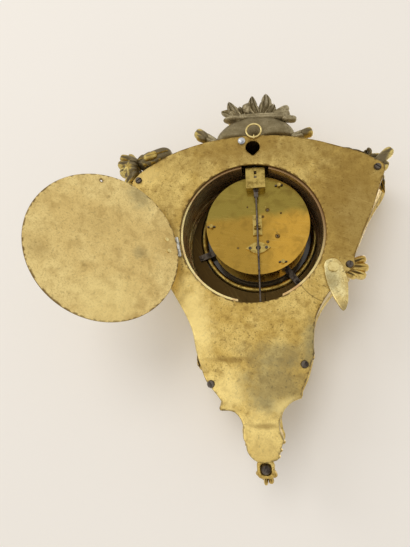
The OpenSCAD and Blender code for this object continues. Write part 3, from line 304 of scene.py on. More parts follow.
def lobe(a, b, width, y=-12.0, depth=8.0, lift=0.0, crease=0.25, rows=30, shade=0.0):
    """A rounded cast lobe from a to b, like a finger: its half width is the square root of one less
    (2t - 1) to the fourth, a little wider towards b, and a crease runs along the middle of its back and
    front. shade is added to its relief."""
    t, p = steps(rows, 28)
    body = np.clip(1 - (2 * t - 1) ** 4, 0, 1) ** 0.5
    c = np.cos(p)
    cut = 1 - crease * hump(c, 0, 0.28) * ease(0.1, 0.6, t)
    x, z = beside(a, b, t, width / 2 * body * (0.75 + 0.25 * t) * c)
    relief = shade + 0.3 + 0.5 * ease(0.35, 1, t) + 0.25 * np.abs(c) - 0.4 * (1 - cut) / crease
    return solid(x, y - lift * t * t + depth / 2 * body * np.sin(p) * cut, z, relief)


def scroll(centre, radius, turns, start, thick, y, depth):
    """A rolled scroll: a bar whose middle line winds about the centre from the start angle in degrees. Its
    distance from the centre falls evenly to 0.12 of the radius and its thickness falls with it. Round its
    section it is an ellipse thick wide and depth deep, with a groove along its back and front."""
    t, p = steps(90, 20)
    a = math.radians(start) + turns * FULL_TURN * t
    closing = np.sqrt(np.clip(1 - np.abs(2 * t - 1) ** 14, 0, 1))
    c = np.cos(p)
    r = radius * (1 - 0.88 * t) + thick / 2 * (1 - 0.45 * t) * closing * c
    high = depth / 2 * (0.75 + 0.25 * t) * closing * np.sin(p) * (1 - 0.22 * hump(c, 0, 0.3))
    relief = 0.35 + 0.6 * ease(0.3, 0.9, c) - 0.3 * hump(c, 0, 0.3)
    return solid(centre[0] + r * np.cos(a), y + high, centre[1] + r * np.sin(a), relief)


def bud(centre, r, y, squash=(1.0, 1.0, 1.0), flutes=6, depth=0.1):
    """A fluted bead: a sphere whose radius loses depth times the absolute cosine of the flutes round it,
    scaled along X, Y and Z."""
    t, p = steps(18, 36)
    t = np.pi * t
    flute = np.abs(np.cos(flutes * p / 2)) * np.sin(t)
    rad = r * (1 - depth * flute)
    return solid(centre[0] + squash[0] * rad * np.sin(t) * np.cos(p), y + squash[1] * rad * np.cos(t),
                 centre[1] + squash[2] * rad * np.sin(t) * np.sin(p), 0.75 - 0.6 * flute)


def build(name, parts, body, finish, nodes=(), sharp=40.0, place=None):
    """Joins the parts' points and faces into one closed mesh in metres, with the relief kept as an
    attribute, and makes it a piece. place(points) moves the points into the model's frame. Points closer
    than two thousandths of a millimetre are merged, so seams and poles are closed, and the faces are turned
    outwards."""
    starts = np.cumsum([0] + [len(v) for v, _, _ in parts])
    points = np.vstack([v for v, _, _ in parts])
    faces = [face for start, (_, f, _) in zip(starts, parts) for face in (f + start).tolist()]
    if place is not None:
        points = place(points)
    mesh = bpy.data.meshes.new(name)
    mesh.from_pydata((points * MM).tolist(), [], faces)
    relief = np.concatenate([r for _, _, r in parts]).astype(np.float32)
    mesh.attributes.new("relief", "FLOAT", "POINT").data.foreach_set("value", relief)
    bm = bmesh.new()
    bm.from_mesh(mesh)
    bmesh.ops.remove_doubles(bm, verts=bm.verts, dist=2e-6)
    bmesh.ops.dissolve_degenerate(bm, edges=bm.edges, dist=1e-7)
    bmesh.ops.recalc_face_normals(bm, faces=bm.faces)
    bm.to_mesh(mesh)
    bm.free()
    mesh.shade_smooth()
    mesh.set_sharp_from_angle(angle=math.radians(sharp))
    mesh.materials.append(material(finish))
    piece = bpy.data.objects.new(name, mesh)
    bpy.context.scene.collection.objects.link(piece)
    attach(piece, body)
    if nodes:
        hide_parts(*nodes)


# Shader nodes

def tone(red, green, blue):
    """A colour written as 0 to 255 screen values, as the linear values that a shader takes."""
    c = np.array([red, green, blue]) / 255
    linear = np.where(c <= 0.04045, c / 12.92, ((c + 0.055) / 1.055) ** 2.4)
    return tuple(float(v) for v in linear) + (1.0,)


GOLD_LIGHT = tone(226, 200, 124)
GOLD = tone(200, 170, 94)
GOLD_DARK = tone(142, 112, 54)
HOLLOW = tone(104, 84, 48)


def add(tree, kind, inputs, **settings):
    """A node of this kind in the tree. inputs maps a socket's name or number to a value or to another node's
    output."""
    node = tree.nodes.new("ShaderNode" + kind)
    for key, value in settings.items():
        setattr(node, key, value)
    for key, value in inputs.items():
        if isinstance(value, bpy.types.NodeSocket):
            tree.links.new(value, node.inputs[key])
        else:
            node.inputs[key].default_value = value
    return node


def sums(tree, operation, *values):
    """The output of a Math node with these values."""
    return add(tree, "Math", dict(enumerate(values)), operation=operation).outputs[0]


def vector(tree, operation, *values):
    """The output of a Vector Math node with these values: a number for a length or a dot product."""
    node = add(tree, "VectorMath", dict(enumerate(values)), operation=operation)
    return node.outputs["Value" if operation in ("LENGTH", "DOT_PRODUCT") else 0]


def noise(tree, where, scale, detail, roughness=0.5, distortion=0.0):
    """The value of a Noise Texture."""
    return add(tree, "TexNoise", {"Vector": where, "Scale": scale, "Detail": detail, "Roughness": roughness,
                                  "Distortion": distortion}).outputs["Fac"]


def spread(tree, value, low, high, start=0.0, end=1.0, kind="SMOOTHSTEP"):
    """A value read from start at low to end at high, with a smooth or a straight step between."""
    return add(tree, "MapRange", {"Value": value, "From Min": low, "From Max": high, "To Min": start,
                                  "To Max": end}, interpolation_type=kind).outputs["Result"]


def along(tree, where, axis):
    """One of the coordinates of a place."""
    return add(tree, "SeparateXYZ", {0: where}).outputs[axis]


def mix(tree, share, a, b, kind="RGBA"):
    """A mix of a and b by share, of colours or of numbers."""
    first, second, result = {"RGBA": (6, 7, 2), "FLOAT": (2, 3, 0)}[kind]
    return add(tree, "Mix", {0: share, first: a, second: b}, data_type=kind).outputs[result]


def tint(tree, colour, mask, strength, other):
    """A colour turned to another where the mask is 1, by at most the strength."""
    return mix(tree, sums(tree, "MULTIPLY", mask, strength), colour, other)


def loosen(tree, where, scale, detail, amount, value, roughness=0.5):
    """A value moved up and down by noise: the noise less a half, times the amount, plus the value."""
    shift = sums(tree, "ADD", noise(tree, where, scale, detail, roughness), -0.5)
    return sums(tree, "MULTIPLY_ADD", shift, amount, value)


def patches_group(tree, given):
    """Uneven patches: noise of the given scale, slightly bent, read as 0 below Low and 1 above High."""
    value = noise(tree, given["Vector"], given["Scale"], given["Detail"], 0.6, 0.4)
    return {"Mask": spread(tree, value, given["Low"], given["High"])}


def marks_group(tree, given):
    """Fine marks along X of the given vector: noise stretched along X, cut to its thin peaks and broken up by
    a slower noise. Mask is how strongly a point is marked."""
    ratio = add(tree, "CombineXYZ", {"X": 0.03, "Y": 1.0, "Z": 1.0}).outputs[0]
    height = noise(tree, vector(tree, "MULTIPLY", given["Vector"], ratio), given["Scale"], 3.0, 0.7)
    thin = spread(tree, height, 0.55, 0.75, kind="LINEAR")
    broken = spread(tree, noise(tree, given["Vector"], 60.0, 2.0), 0.35, 0.6, kind="LINEAR")
    return {"Mask": sums(tree, "MULTIPLY", thin, broken), "Height": height}


def stain_and_painted_light_group(tree, given):
    """A patch round Centre, which serves for stain marks and for painted light and shade: 1 inside Radius,
    falling to 0 over Soft, with its distance moved by noise times Ragged. Shape stretches it along X, Y and
    Z."""
    off = vector(tree, "SUBTRACT", given["Vector"], given["Centre"])
    far = vector(tree, "LENGTH", vector(tree, "DIVIDE", off, given["Shape"]))
    moved = loosen(tree, given["Vector"], 120.0, 5.0, given["Ragged"], far, 0.65)
    end = sums(tree, "ADD", given["Radius"], given["Soft"])
    return {"Mask": spread(tree, moved, given["Radius"], end, 1.0, 0.0)}


def ridges_group(tree, given):
    """Where handling has rubbed a cast surface: the relief attribute, loosened by noise, read from Low to
    High."""
    relief = add(tree, "Attribute", {}, attribute_name="relief").outputs["Fac"]
    moved = loosen(tree, given["Vector"], 160.0, 4.0, given["Loose"], relief)
    return {"Mask": spread(tree, moved, given["Low"], given["High"])}


# The shared node groups: maker, inputs besides the vector, and outputs
GROUPS = {
    "Uneven Patches": (patches_group, {"Scale": 40.0, "Low": 0.4, "High": 0.7, "Detail": 4.0}, ["Mask"]),
    "Fine Marks": (marks_group, {"Scale": 900.0}, ["Mask", "Height"]),
    "Stain and Painted Light": (stain_and_painted_light_group, {"Centre": (0, 0, 0), "Shape": (1, 1, 1), "Radius": 0.01, "Soft": 0.01,
                            "Ragged": 0.01}, ["Mask"]),
    "Rubbed Ridges": (ridges_group, {"Low": 0.5, "High": 0.8, "Loose": 0.3}, ["Mask"]),
}


def group(tree, name, inputs):
    """The outputs of a node that holds one of the shared groups, which is made at its first use."""
    made = bpy.data.node_groups.get(name)
    if made is None:
        maker, sockets, outputs = GROUPS[name]
        made = bpy.data.node_groups.new(name, "ShaderNodeTree")
        made.interface.new_socket(name="Vector", in_out="INPUT", socket_type="NodeSocketVector")
        for label, default in sockets.items():
            kind = "NodeSocketVector" if isinstance(default, tuple) else "NodeSocketFloat"
            made.interface.new_socket(name=label, in_out="INPUT", socket_type=kind).default_value = default
        for label in outputs:
            made.interface.new_socket(name=label, in_out="OUTPUT", socket_type="NodeSocketFloat")
        end = made.nodes.new("NodeGroupOutput")
        for label, value in maker(made, made.nodes.new("NodeGroupInput").outputs).items():
            made.links.new(value, end.inputs[label])
    return add(tree, "Group", inputs, node_tree=made).outputs


def patches(tree, where, scale, low, high, detail=4.0):
    """The mask of uneven patches."""
    return group(tree, "Uneven Patches", {"Vector": where, "Scale": scale, "Low": low, "High": high,
                                          "Detail": detail})["Mask"]


def ridges(tree, where, low, high, loose=0.3):
    """The mask of rubbed ridges."""
    return group(tree, "Rubbed Ridges", {"Vector": where, "Low": low, "High": high, "Loose": loose})["Mask"]


def start_material(name, metallic, turn=(0, 0, 0)):
    """A material with its shader, its object coordinates, and these turned by angles in degrees."""
    made = bpy.data.materials.new(name)
    made.use_nodes = True
    tree = made.node_tree
    tree.nodes.clear()
    shader = add(tree, "BsdfPrincipled", {"Metallic": metallic})
    add(tree, "OutputMaterial", {"Surface": shader.outputs["BSDF"]})
    where = add(tree, "TexCoord", {}).outputs["Object"]
    turned = add(tree, "Mapping", {"Vector": where, "Rotation": [math.radians(v) for v in turn]})
    return made, tree, shader, where, turned.outputs["Vector"]


def feed(tree, shader, colour, rough, height, strength, distance=0.0002):
    """Links a colour, a roughness and, through a Bump node, a height to the shader."""
    normal = add(tree, "Bump", {"Height": height, "Strength": strength, "Distance": distance})
    for value, socket in ((colour, "Base Color"), (rough, "Roughness"), (normal.outputs["Normal"], "Normal")):
        if value is not None:
            tree.links.new(value, shader.inputs[socket])


def gilding(name, light, middle, dark, rough, mark, bump_by, patch_scale=26.0, mark_turn=(0, 0, 0), stains_and_painted_light=(),
            wear=None, edge=None, gilt_front=None, rub=None, pitted=0.6):
    """Worn gilding: three golds in uneven patches of two scales, with pits, fine marks along one direction
    and stains_and_painted_light, stain marks and painted patches of light and shade, each a centre, a shape,
    a radius, a soft border, a strength and a colour. wear is for castings: where the ridges begin and end,
    and the colour and roughness of the hollows between them. edge is a darker colour along a sheet's rim, and
    gilt_front the depth in front of which a dull casting's ridges are gilded. rub is a thin arc that a
    turning piece has worn: a centre, a radius and the height below which it shows."""
    made, tree, shader, where, turned = start_material(name, 1.0, mark_turn)
    fine = patches(tree, where, patch_scale * 6, 0.42, 0.72, 6.0)
    grain = patches(tree, where, 900.0, 0.44, 0.7, 5.0)
    pits = patches(tree, where, 420.0, 0.58, 0.66)
    marks = group(tree, "Fine Marks", {"Vector": turned})
    colour = mix(tree, patches(tree, where, patch_scale, 0.42, 0.6), middle, light)
    for mask, strength, other in ((fine, 0.55, dark), (grain, 0.5, dark), (pits, pitted, HOLLOW)):
        colour = tint(tree, colour, mask, strength, other)
    rough_now = mix(tree, fine, rough, min(1.0, rough + 0.14), "FLOAT")
    if wear is not None:
        low, high, hollow, hollow_rough = wear
        ridge = ridges(tree, where, low, high)
        colour = mix(tree, ridge, hollow, colour)
        rough_now = mix(tree, ridge, hollow_rough, rough_now, "FLOAT")
    # darker along a sheet's rim
    if edge is not None:
        colour = mix(tree, ridges(tree, where, 0.52, 0.85, 0.5), colour, edge)
    if gilt_front is not None:
        front = spread(tree, along(tree, where, "Y"), gilt_front * MM, (gilt_front - 6) * MM)
        colour = tint(tree, colour, front, ridge, GOLD_LIGHT)
    # these patches are stain marks, and painted light and shade where their tables say so
    for centre, shape, radius, soft, strength, other in stains_and_painted_light:
        spot = group(tree, "Stain and Painted Light", {"Vector": where, "Centre": [v * MM for v in centre], "Shape": shape,
                                     "Radius": radius * MM, "Soft": soft * MM, "Ragged": soft * 1.6 * MM})
        colour = tint(tree, colour, spot["Mask"], strength, other)
    if rub is not None:
        centre, radius, top = rub
        far = vector(tree, "LENGTH", vector(tree, "SUBTRACT", where, [v * MM for v in centre]))
        aside = sums(tree, "ABSOLUTE", sums(tree, "ADD", far, -radius * MM))
        line = spread(tree, aside, 0.15 * MM, 0.6 * MM, 0.6, 0.0, "LINEAR")
        low = spread(tree, along(tree, where, "Z"), top * MM, (top - 6) * MM, kind="LINEAR")
        colour = tint(tree, colour, line, low, HOLLOW)
    colour = tint(tree, colour, marks["Mask"], mark, light)
    feed(tree, shader, colour, rough_now, mix(tree, 0.5, marks["Height"], grain, "FLOAT"), bump_by)
    return made


def plain_metal(name, light, dark, rough, scale, metallic=1.0):
    """Worked metal: two tones in fine patches, with drawn or filed marks along X."""
    made, tree, shader, where, turned = start_material(name, metallic)
    mask = patches(tree, where, scale, 0.4, 0.7, 5.0)
    marks = group(tree, "Fine Marks", {"Vector": turned, "Scale": 1400.0})
    colour = tint(tree, mix(tree, mask, tone(*light), tone(*dark)), marks["Mask"], 0.3, tone(*dark))
    rough_now = mix(tree, mask, rough, min(1.0, rough + 0.18), "FLOAT")
    feed(tree, shader, colour, rough_now, marks["Height"], 0.15, 0.0001)
    return made


def enamel_material():
    """Fired white enamel: a warm white with faint clouds and a few hair cracks under a clear glossy coat, and
    the bare dark copper at its back."""
    made, tree, shader, where, _ = start_material("Dial Enamel", 0.0)
    cloud = patches(tree, where, 30.0, 0.35, 0.75)
    cells = add(tree, "TexVoronoi", {"Vector": where, "Scale": 34.0}, feature="DISTANCE_TO_EDGE")
    crack = spread(tree, cells.outputs["Distance"], 0.0, 0.006, 0.25, 0.0, "LINEAR")
    back = spread(tree, along(tree, where, "Y"), -47.0 * MM, -46.5 * MM, kind="LINEAR")
    colour = mix(tree, cloud, tone(238, 233, 221), tone(230, 223, 207))
    colour = mix(tree, crack, colour, tone(140, 128, 110))
    colour = mix(tree, back, colour, tone(72, 62, 44))
    tree.links.new(colour, shader.inputs["Base Color"])
    tree.links.new(mix(tree, cloud, 0.12, 0.2, "FLOAT"), shader.inputs["Roughness"])
    shader.inputs["Coat Weight"].default_value = 0.5
    shader.inputs["Coat Roughness"].default_value = 0.06
    return made


def glass_material():
    """Old clear glass: a smooth glass with faint ripples in its surface."""
    made, tree, shader, where, _ = start_material("Clock Glass", 0.0)
    for socket, value in (("Base Color", (0.96, 0.98, 0.97, 1)), ("Transmission Weight", 1.0),
                          ("Roughness", 0.02), ("IOR", 1.45)):
        shader.inputs[socket].default_value = value
    feed(tree, shader, None, None, noise(tree, where, 25.0, 1.0), 0.08, 0.0003)
    return made


def movement_material():
    """Lacquered brass of the movement's plates: greenish above, orange below a wavy level, with a paler right
    side, fine scratches and small dark specks."""
    made, tree, shader, where, turned = start_material("Movement Brass", 1.0, (0, 10, 0))
    level = sums(tree, "MULTIPLY_ADD", noise(tree, where, 45.0, 3.0), 16 * MM, along(tree, where, "Z"))
    below = spread(tree, level, -50 * MM, -42 * MM, 1.0, 0.0)
    right = spread(tree, along(tree, where, "X"), 2 * MM, -20 * MM)
    colour = mix(tree, right, tone(172, 138, 60), tone(206, 162, 68))
    colour = mix(tree, below, tone(150, 132, 62), colour)
    specks = patches(tree, where, 140.0, 0.45, 0.7)
    marks = group(tree, "Fine Marks", {"Vector": turned, "Scale": 1100.0})
    colour = tint(tree, colour, specks, 0.35, tone(112, 88, 38))
    colour = tint(tree, colour, marks["Mask"], 0.3, tone(222, 190, 110))
    feed(tree, shader, colour, mix(tree, specks, 0.26, 0.42, "FLOAT"), marks["Height"], 0.12, 0.0001)
    return made


def drum_material():
    """Oxidised sheet brass inside the opening: pale and reddish patches with streaks that run round it, and
    painted shade that darkens it towards the top and the right side."""
    made, tree, shader, where, _ = start_material("Dark Drum", 0.75)
    streaks = patches(tree, vector(tree, "MULTIPLY", where, (0.5, 4.0, 0.5)), 160.0, 0.45, 0.7)
    # painted shade: this mask darkens the drum towards the top and the right side
    upper = spread(tree, vector(tree, "DOT_PRODUCT", where, (-0.5, 0.0, 1.0)), -100 * MM, -30 * MM)
    colour = mix(tree, patches(tree, where, 45.0, 0.4, 0.62), tone(246, 228, 160), tone(212, 168, 116))
    colour = tint(tree, colour, streaks, 0.6, tone(240, 226, 170))
    colour = mix(tree, upper, colour, tone(156, 124, 84))
    feed(tree, shader, colour, mix(tree, streaks, 0.24, 0.42, "FLOAT"), streaks, 0.2)
    return made


# Plain metals: name, light and dark tone, roughness and fineness of the patches. The fired black isn't a
# metal, so its last number is 0.
PLAIN_METALS = {
    "wire": ("Wire Brass", (232, 214, 150), (178, 150, 86), 0.3, 220.0),
    # painted glint: the hinge leaves get this near-white colour for the light that glints on them
    "painted_glint": ("Pale Brass With Painted Glint", (226, 226, 220), (164, 160, 146), 0.3, 220.0),
    "oiled": ("Oiled Brass", (126, 98, 46), (84, 62, 30), 0.35, 220.0),
    "parts": ("Train Brass", (196, 172, 98), (140, 118, 60), 0.3, 300.0),
    "steel": ("Oiled Steel", (104, 96, 88), (50, 42, 38), 0.38, 260.0),
    "bright": ("Bright Steel", (206, 210, 216), (140, 144, 154), 0.22, 260.0),
    "blued": ("Blued Steel", (52, 62, 104), (24, 26, 52), 0.25, 200.0),
    "copper": ("Dull Copper", (186, 124, 92), (130, 82, 58), 0.45, 220.0),
    "fired": ("Fired Black", (38, 36, 36), (22, 20, 20), 0.3, 260.0, 0.0),
}
GREY = tone(132, 124, 92)
PALE = tone(244, 222, 150)
BROWN = tone(134, 106, 54)
DULL = tone(142, 114, 58)
# Stain marks and painted light: centre, shape, radius, soft border, strength and colour. The door's are round
# and drawn on the shut door.
# on the plate the wide dull patches at the top and on the right are painted shade, and the pale patches on
# the left side and round the foot are painted light; the grey and brown spots are stain marks
PLATE_STAINS_AND_PAINTED_LIGHT = [
    ((0, 0, -2), (5, 1, 1), 3, 26, 0.6, DULL), ((-72, 0, -55), (1, 1, 1.6), 14, 34, 0.7, DULL),
    ((70, 0, -48), (1, 1, 1.6), 2, 24, 0.35, BROWN), ((82, 0, -17), (1.6, 1, 0.8), 2, 12, 0.35, PALE),
    ((44, 0, -140), (0.6, 1, 1.8), 4, 22, 0.5, PALE), ((2, 0, -213), (0.8, 1, 1.4), 6, 22, 0.4, PALE),
    ((22, 0, -184), (1, 1, 1), 3, 16, 0.5, PALE), ((54, 0, -132), (0.8, 1, 1.6), 6, 22, 0.5, PALE),
    ((-8, 0, -180), (1.1, 1, 0.9), 8, 20, 0.55, GREY), ((-12, 0, -160), (2.2, 1, 0.8), 3, 14, 0.5, GREY),
    ((-36, 0, -152), (0.7, 1, 1.6), 3, 12, 0.6, GREY), ((-2, 0, -193), (1, 1, 0.6), 2, 8, 0.5, GREY),
    ((22, 0, -163), (2.2, 1, 0.35), 2, 7, 0.6, BROWN), ((-18, 0, -194), (1.4, 1, 0.7), 3, 9, 0.6, PALE),
    ((0, 0, -207), (1.6, 1, 0.35), 2, 6, 0.55, BROWN), ((62, 0, -53), (0.6, 1, 0.6), 0.8, 2.5, 0.6, BROWN)]
# on the door the dark ring round its small hole is painted shade and the wide pale patch on its lower half is
# painted light; the rest are stain marks
DOOR_STAINS_AND_PAINTED_LIGHT = [
    ((26, 0, 40), 3, 12, 0.5, GREY), ((33, 0, -6), 1.5, 6, 0.45, GREY), ((100, 0, -3), 1, 9, 0.3, BROWN),
    ((60, 0, 14), 2, 12, 0.15, DULL), ((54.2, 0, 48.8), 1.2, 1.8, 0.85, BROWN),
    ((60, 0, -40), 4, 26, 0.4, PALE)]
# on the latch the grey patch near its rivet and the darker tip are painted shade
LATCH_PAINTED_SHADE = [
    ((-49, 0, -109), (1, 1, 1.4), 3, 8, 0.55, GREY),
    ((-58, 0, -131), (1, 1, 1), 2, 6, 0.7, tone(128, 112, 76))]


def make_materials(colours):
    """Every finish of the clock, by a maker's plain name."""
    golds = [tuple(c) + (1.0,) for c in (colours.gold_light, colours.gold, colours.gold_dark)]
    door_stains_and_painted_light = [(door_place(np.array(at)), (1, 1, 1), *rest) for at, *rest in DOOR_STAINS_AND_PAINTED_LIGHT]
    made = {key: plain_metal(*row) for key, row in PLAIN_METALS.items()}
    made["movement"] = movement_material()
    made["drum"] = drum_material()
    made["enamel"] = enamel_material()
    made["glass"] = glass_material()
    made["plate"] = gilding(
        "Plate Gilding", *golds, rough=0.42, mark=0.3, bump_by=0.2, mark_turn=(0, 25, 0), stains_and_painted_light=PLATE_STAINS_AND_PAINTED_LIGHT,
        edge=tone(112, 90, 50), rub=((-53, 0, -100), 25.6, -106))
    made["door"] = gilding(
        "Door Gilding", tone(240, 217, 150), tone(227, 200, 132), tone(184, 156, 96), rough=0.38, mark=0.6,
        bump_by=0.3, patch_scale=20.0, mark_turn=(0, 8, 140), stains_and_painted_light=door_stains_and_painted_light, edge=tone(124, 102, 62),
        pitted=0.25)
    made["cast"] = gilding(
        "Cast Gilding", *golds, rough=0.36, mark=0.2, bump_by=0.35, patch_scale=50.0, mark_turn=(0, 60, 0),
        wear=(0.15, 0.5, HOLLOW, 0.6))
    made["latch"] = gilding(
        "Latch Gilding", tone(250, 236, 176), tone(228, 206, 138), tone(170, 142, 82), rough=0.3, mark=0.3,
        bump_by=0.15, patch_scale=60.0, mark_turn=(0, 70, 0), stains_and_painted_light=LATCH_PAINTED_SHADE)
    made["bronze"] = gilding(
        "Dull Bronze", tone(184, 172, 140), tone(154, 142, 112), tone(98, 86, 64), rough=0.5, mark=0.5,
        bump_by=0.5, patch_scale=60.0, wear=(-0.1, 0.4, tone(128, 116, 86), 0.62), gilt_front=-13.0)
    made["tips"] = gilding(
        "Gold Tips", tone(226, 206, 128), tone(196, 170, 92), tone(120, 98, 56), rough=0.4, mark=0.3,
        bump_by=0.4, patch_scale=90.0, wear=(0.4, 0.75, tone(118, 106, 80), 0.55), gilt_front=-15.0)
    return made


MATERIALS = {}


def material(key):
    """A finish by name, all of them being made at the first call."""
    if not MATERIALS:
        MATERIALS.update(make_materials(bpy.context.scene.clock_colours))
    return MATERIALS[key]


def finish_nodes(key, *nodes):
    """Gives carried-over nodes of the model a finish in all their material slots."""
    for name in nodes:
        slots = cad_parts[name].data.materials
        if not slots:
            slots.append(material(key))
        for i in range(len(slots)):
            slots[i] = material(key)


# Pieces

def door_place(points):
    """Points drawn on the shut door (x from the hinge line over the opening, y out of the back, z along the
    hinge) in their place: mirrored in x, turned about the hinge by the opening angle, leaned, and moved to
    the hinge."""
    t, lean = math.radians(-DOOR_OPEN), math.radians(HINGE_LEAN)
    turned = np.array([[math.cos(t), -math.sin(t), 0], [math.sin(t), math.cos(t), 0], [0, 0, 1]])
    leaned = np.array([[math.cos(lean), 0, math.sin(lean)], [0, 1, 0], [-math.sin(lean), 0, math.cos(lean)]])
    p = (points - np.array([0, HINGE[1], 0])) * np.array([-1, 1, 1])
    return HINGE + p @ (leaned @ turned).T


def case_row(outline, grow, y, share, lift):
    """One ring of the casting: the outline moved out by grow times the flare, drawn in to share about the
    case's middle, at depth y and lifted towards the back at its foot. The flare is 1 mm at the foot, 3 mm at
    the waist and 10 mm at the upper corners."""
    z = outline[:, 1]
    flare = grow * (1.0 + 2.0 * ease(-205, -170, z) + 7.0 * ease(-62, -18, z))
    flat = CASE_MIDDLE + share * (outline + flare[:, None] * outward(outline) - CASE_MIDDLE)
    return np.insert(flat, 1, y + lift * ease(-120, -225, z), axis=1)


def strokes(letters):
    """Upright Roman figures side by side, as flat four-sided strokes with short feet and heads, and the whole
    width. FIGURES holds each letter's width with the gap after it, and its strokes: where a stroke starts
    below and ends above, in heights of the figure, and its thickness."""
    out, at = [], 0.0
    for letter in letters:
        width, lines = FIGURES[letter]
        for low, high, wide in lines:
            x0, x1 = at + low * FIGURE_HIGH, at + high * FIGURE_HIGH
            out.append([(x0, 0), (x0 + wide, 0), (x1 + wide, FIGURE_HIGH), (x1, FIGURE_HIGH)])
            for x, z in ((x0, 0), (x1, FIGURE_HIGH)):
                left, right, low_z, high_z = x - wide * 0.4, x + wide * 1.4, z - THIN / 2, z + THIN / 2
                out.append([(left, low_z), (right, low_z), (right, high_z), (left, high_z)])
        at += width * FIGURE_HIGH
    return np.array(out, float), at - LETTER_GAP * FIGURE_HIGH


def slabs(shapes, y0, y1):
    """Four-sided flat strokes (n x 4 x 2) as thin blocks from y0 to y1."""
    points = np.concatenate([np.insert(shapes, 1, y, axis=2) for y in (y0, y1)], 1).reshape(-1, 3)
    block = np.array([[0, 1, 2, 3], [7, 6, 5, 4], [0, 4, 5, 1], [1, 5, 6, 2], [2, 6, 7, 3], [3, 7, 4, 0]])
    faces = (np.arange(len(shapes))[:, None, None] * 8 + block).reshape(-1, 4)
    return points, faces, np.full(len(points), 0.5)


class ClockColours(bpy.types.PropertyGroup):
    """The golds of the gilding."""
    gold_light: bpy.props.FloatVectorProperty(
        name="Light gold", description="Gilding where it is rubbed bright", subtype="COLOR", size=3, min=0,
        max=1, default=GOLD_LIGHT[:3])
    gold: bpy.props.FloatVectorProperty(
        name="Gold", description="Gilding as it mostly is", subtype="COLOR", size=3, min=0, max=1,
        default=GOLD[:3])
    gold_dark: bpy.props.FloatVectorProperty(
        name="Dark gold", description="Gilding where it has dulled", subtype="COLOR", size=3, min=0, max=1,
        default=GOLD_DARK[:3])


class ClockSizes(bpy.types.PropertyGroup):
    """Sizes of the visible pieces' detail, in metres, and the settings of the picture."""
    plate_edge: bpy.props.FloatProperty(
        name="Plate edge", description="Radius of the back plate's rounded edge", default=0.0006,
        unit="LENGTH")
    plate_wave: bpy.props.FloatProperty(
        name="Plate unevenness", description="How far the cast plate's face waves", default=0.00012,
        unit="LENGTH")
    door_dent: bpy.props.FloatProperty(
        name="Door dents", description="Depth of the dents in the door", default=0.0005, unit="LENGTH")
    bead_count: bpy.props.IntProperty(
        name="Bezel beads", description="Number of beads round the bezel", default=72)
    camera_lens: bpy.props.FloatProperty(
        name="Lens", description="Focal length in millimetres on a 36 mm frame", default=27.05)
    key_power: bpy.props.FloatProperty(
        name="Key light", description="Power of the large soft lamp in watts", default=14.0)


def sizes():
    """The scene's sizes of the clock."""
    return bpy.context.scene.clock_sizes


class CLOCK_OT_back_plate(bpy.types.Operator):
    """Build the gilt back plate with its opening, its keyhole and its screw holes"""
    bl_idname = "clock.back_plate"
    bl_label = "Back plate"

    def execute(self, context):
        wave = sizes().plate_wave / MM

        def uneven(x, z):
            """Slow waves of the cast face: a sine of x times a cosine of z, plus a finer slanted sine."""
            return wave * (np.sin(x / 13.0 + 1.3) * np.cos(z / 17.0) + 0.6 * np.sin(z / 7.3 + x / 19.0))
        a = np.radians(np.linspace(-35, 215, 34))
        foot = -1.28 * KEYHOLE_R
        keyhole = np.vstack([KEYHOLE_R * np.stack([np.cos(a), np.sin(a)], 1), [[-0.4, foot], [0.4, foot]]])
        holes = [circle(OPENING, OPENING_R, 200), keyhole] + [circle(at, 1.5, 20) for at in SCREWS]
        outline = even(spline(PLATE_OUTLINE, 8), 420)
        parts = sheet(outline, holes, y0=-PLATE_THICK, y1=0.0, edge=sizes().plate_edge / MM, spacing=4.0,
                      lift=uneven)
        build("back_plate_gilt", parts, "case", "plate", ["back_plate"])
        return {"FINISHED"}


class CLOCK_OT_door(bpy.types.Operator):
    """Build the round rear door with its small hole, its dents and its darker rim"""
    bl_idname = "clock.door"
    bl_label = "Rear door"

    def execute(self, context):
        dent = sizes().door_dent / MM

        def dents(x, z):
            """A round and a long dent, each an exponential of minus squared distances, and a buckle, a sine
            of x times a cosine of z that fades to nothing at the rim."""
            u = x - DOOR_REACH
            soft = np.exp(-((x - 33.5) ** 2 + (z + 5.5) ** 2) / 60.0)
            low = np.exp(-((x - 70.0) ** 2 / 500.0 + (z + 30.0) ** 2 / 90.0))
            buckle = 0.5 * np.sin(u / 21.0 + 0.6) * np.cos(z / 24.0)
            return dent * (0.7 * soft + 0.6 * low + 0.8 * buckle * (1 - (u * u + z * z) / DOOR_R ** 2))
        hole = circle((DOOR_REACH - 2, DOOR_R - 5), 0.8, 20)
        parts = sheet(circle((DOOR_REACH, 0), DOOR_R, 220), [hole], y0=-1.4, y1=-0.2, edge=0.45,
                      spacing=3.4, lift=dents)
        build("rear_door_gilt", parts, "door", "door", ["rear_door"], place=door_place)
        # the hinge leaves take the near-white painted glint
        finish_nodes("painted_glint", "door_hinge_leaf", "plate_hinge_leaf")
        finish_nodes("wire", "door_rivets", "plate_rivets")
        finish_nodes("bright", "hinge_pin")
        return {"FINISHED"}


class CLOCK_OT_latch(bpy.types.Operator):
    """Build the tapered turn latch, crowned towards its middle"""
    bl_idname = "clock.latch"
    bl_label = "Turn latch"

    def execute(self, context):
        outline = LATCH_AT + even(spline(np.array(LATCH_OUTLINE) * LATCH_LENGTH, 8), 120)
        parts = sheet(outline, [circle(LATCH_AT, 2.15, 32)], y0=0.35, y1=1.95, edge=0.6, spacing=1.4,
                      crown=0.25, crown_width=1.4, border=0.7)
        build("turn_latch_gilt", parts, "latch", "latch", ["turn_latch"])
        finish_nodes("wire", "latch_rivet")
        return {"FINISHED"}


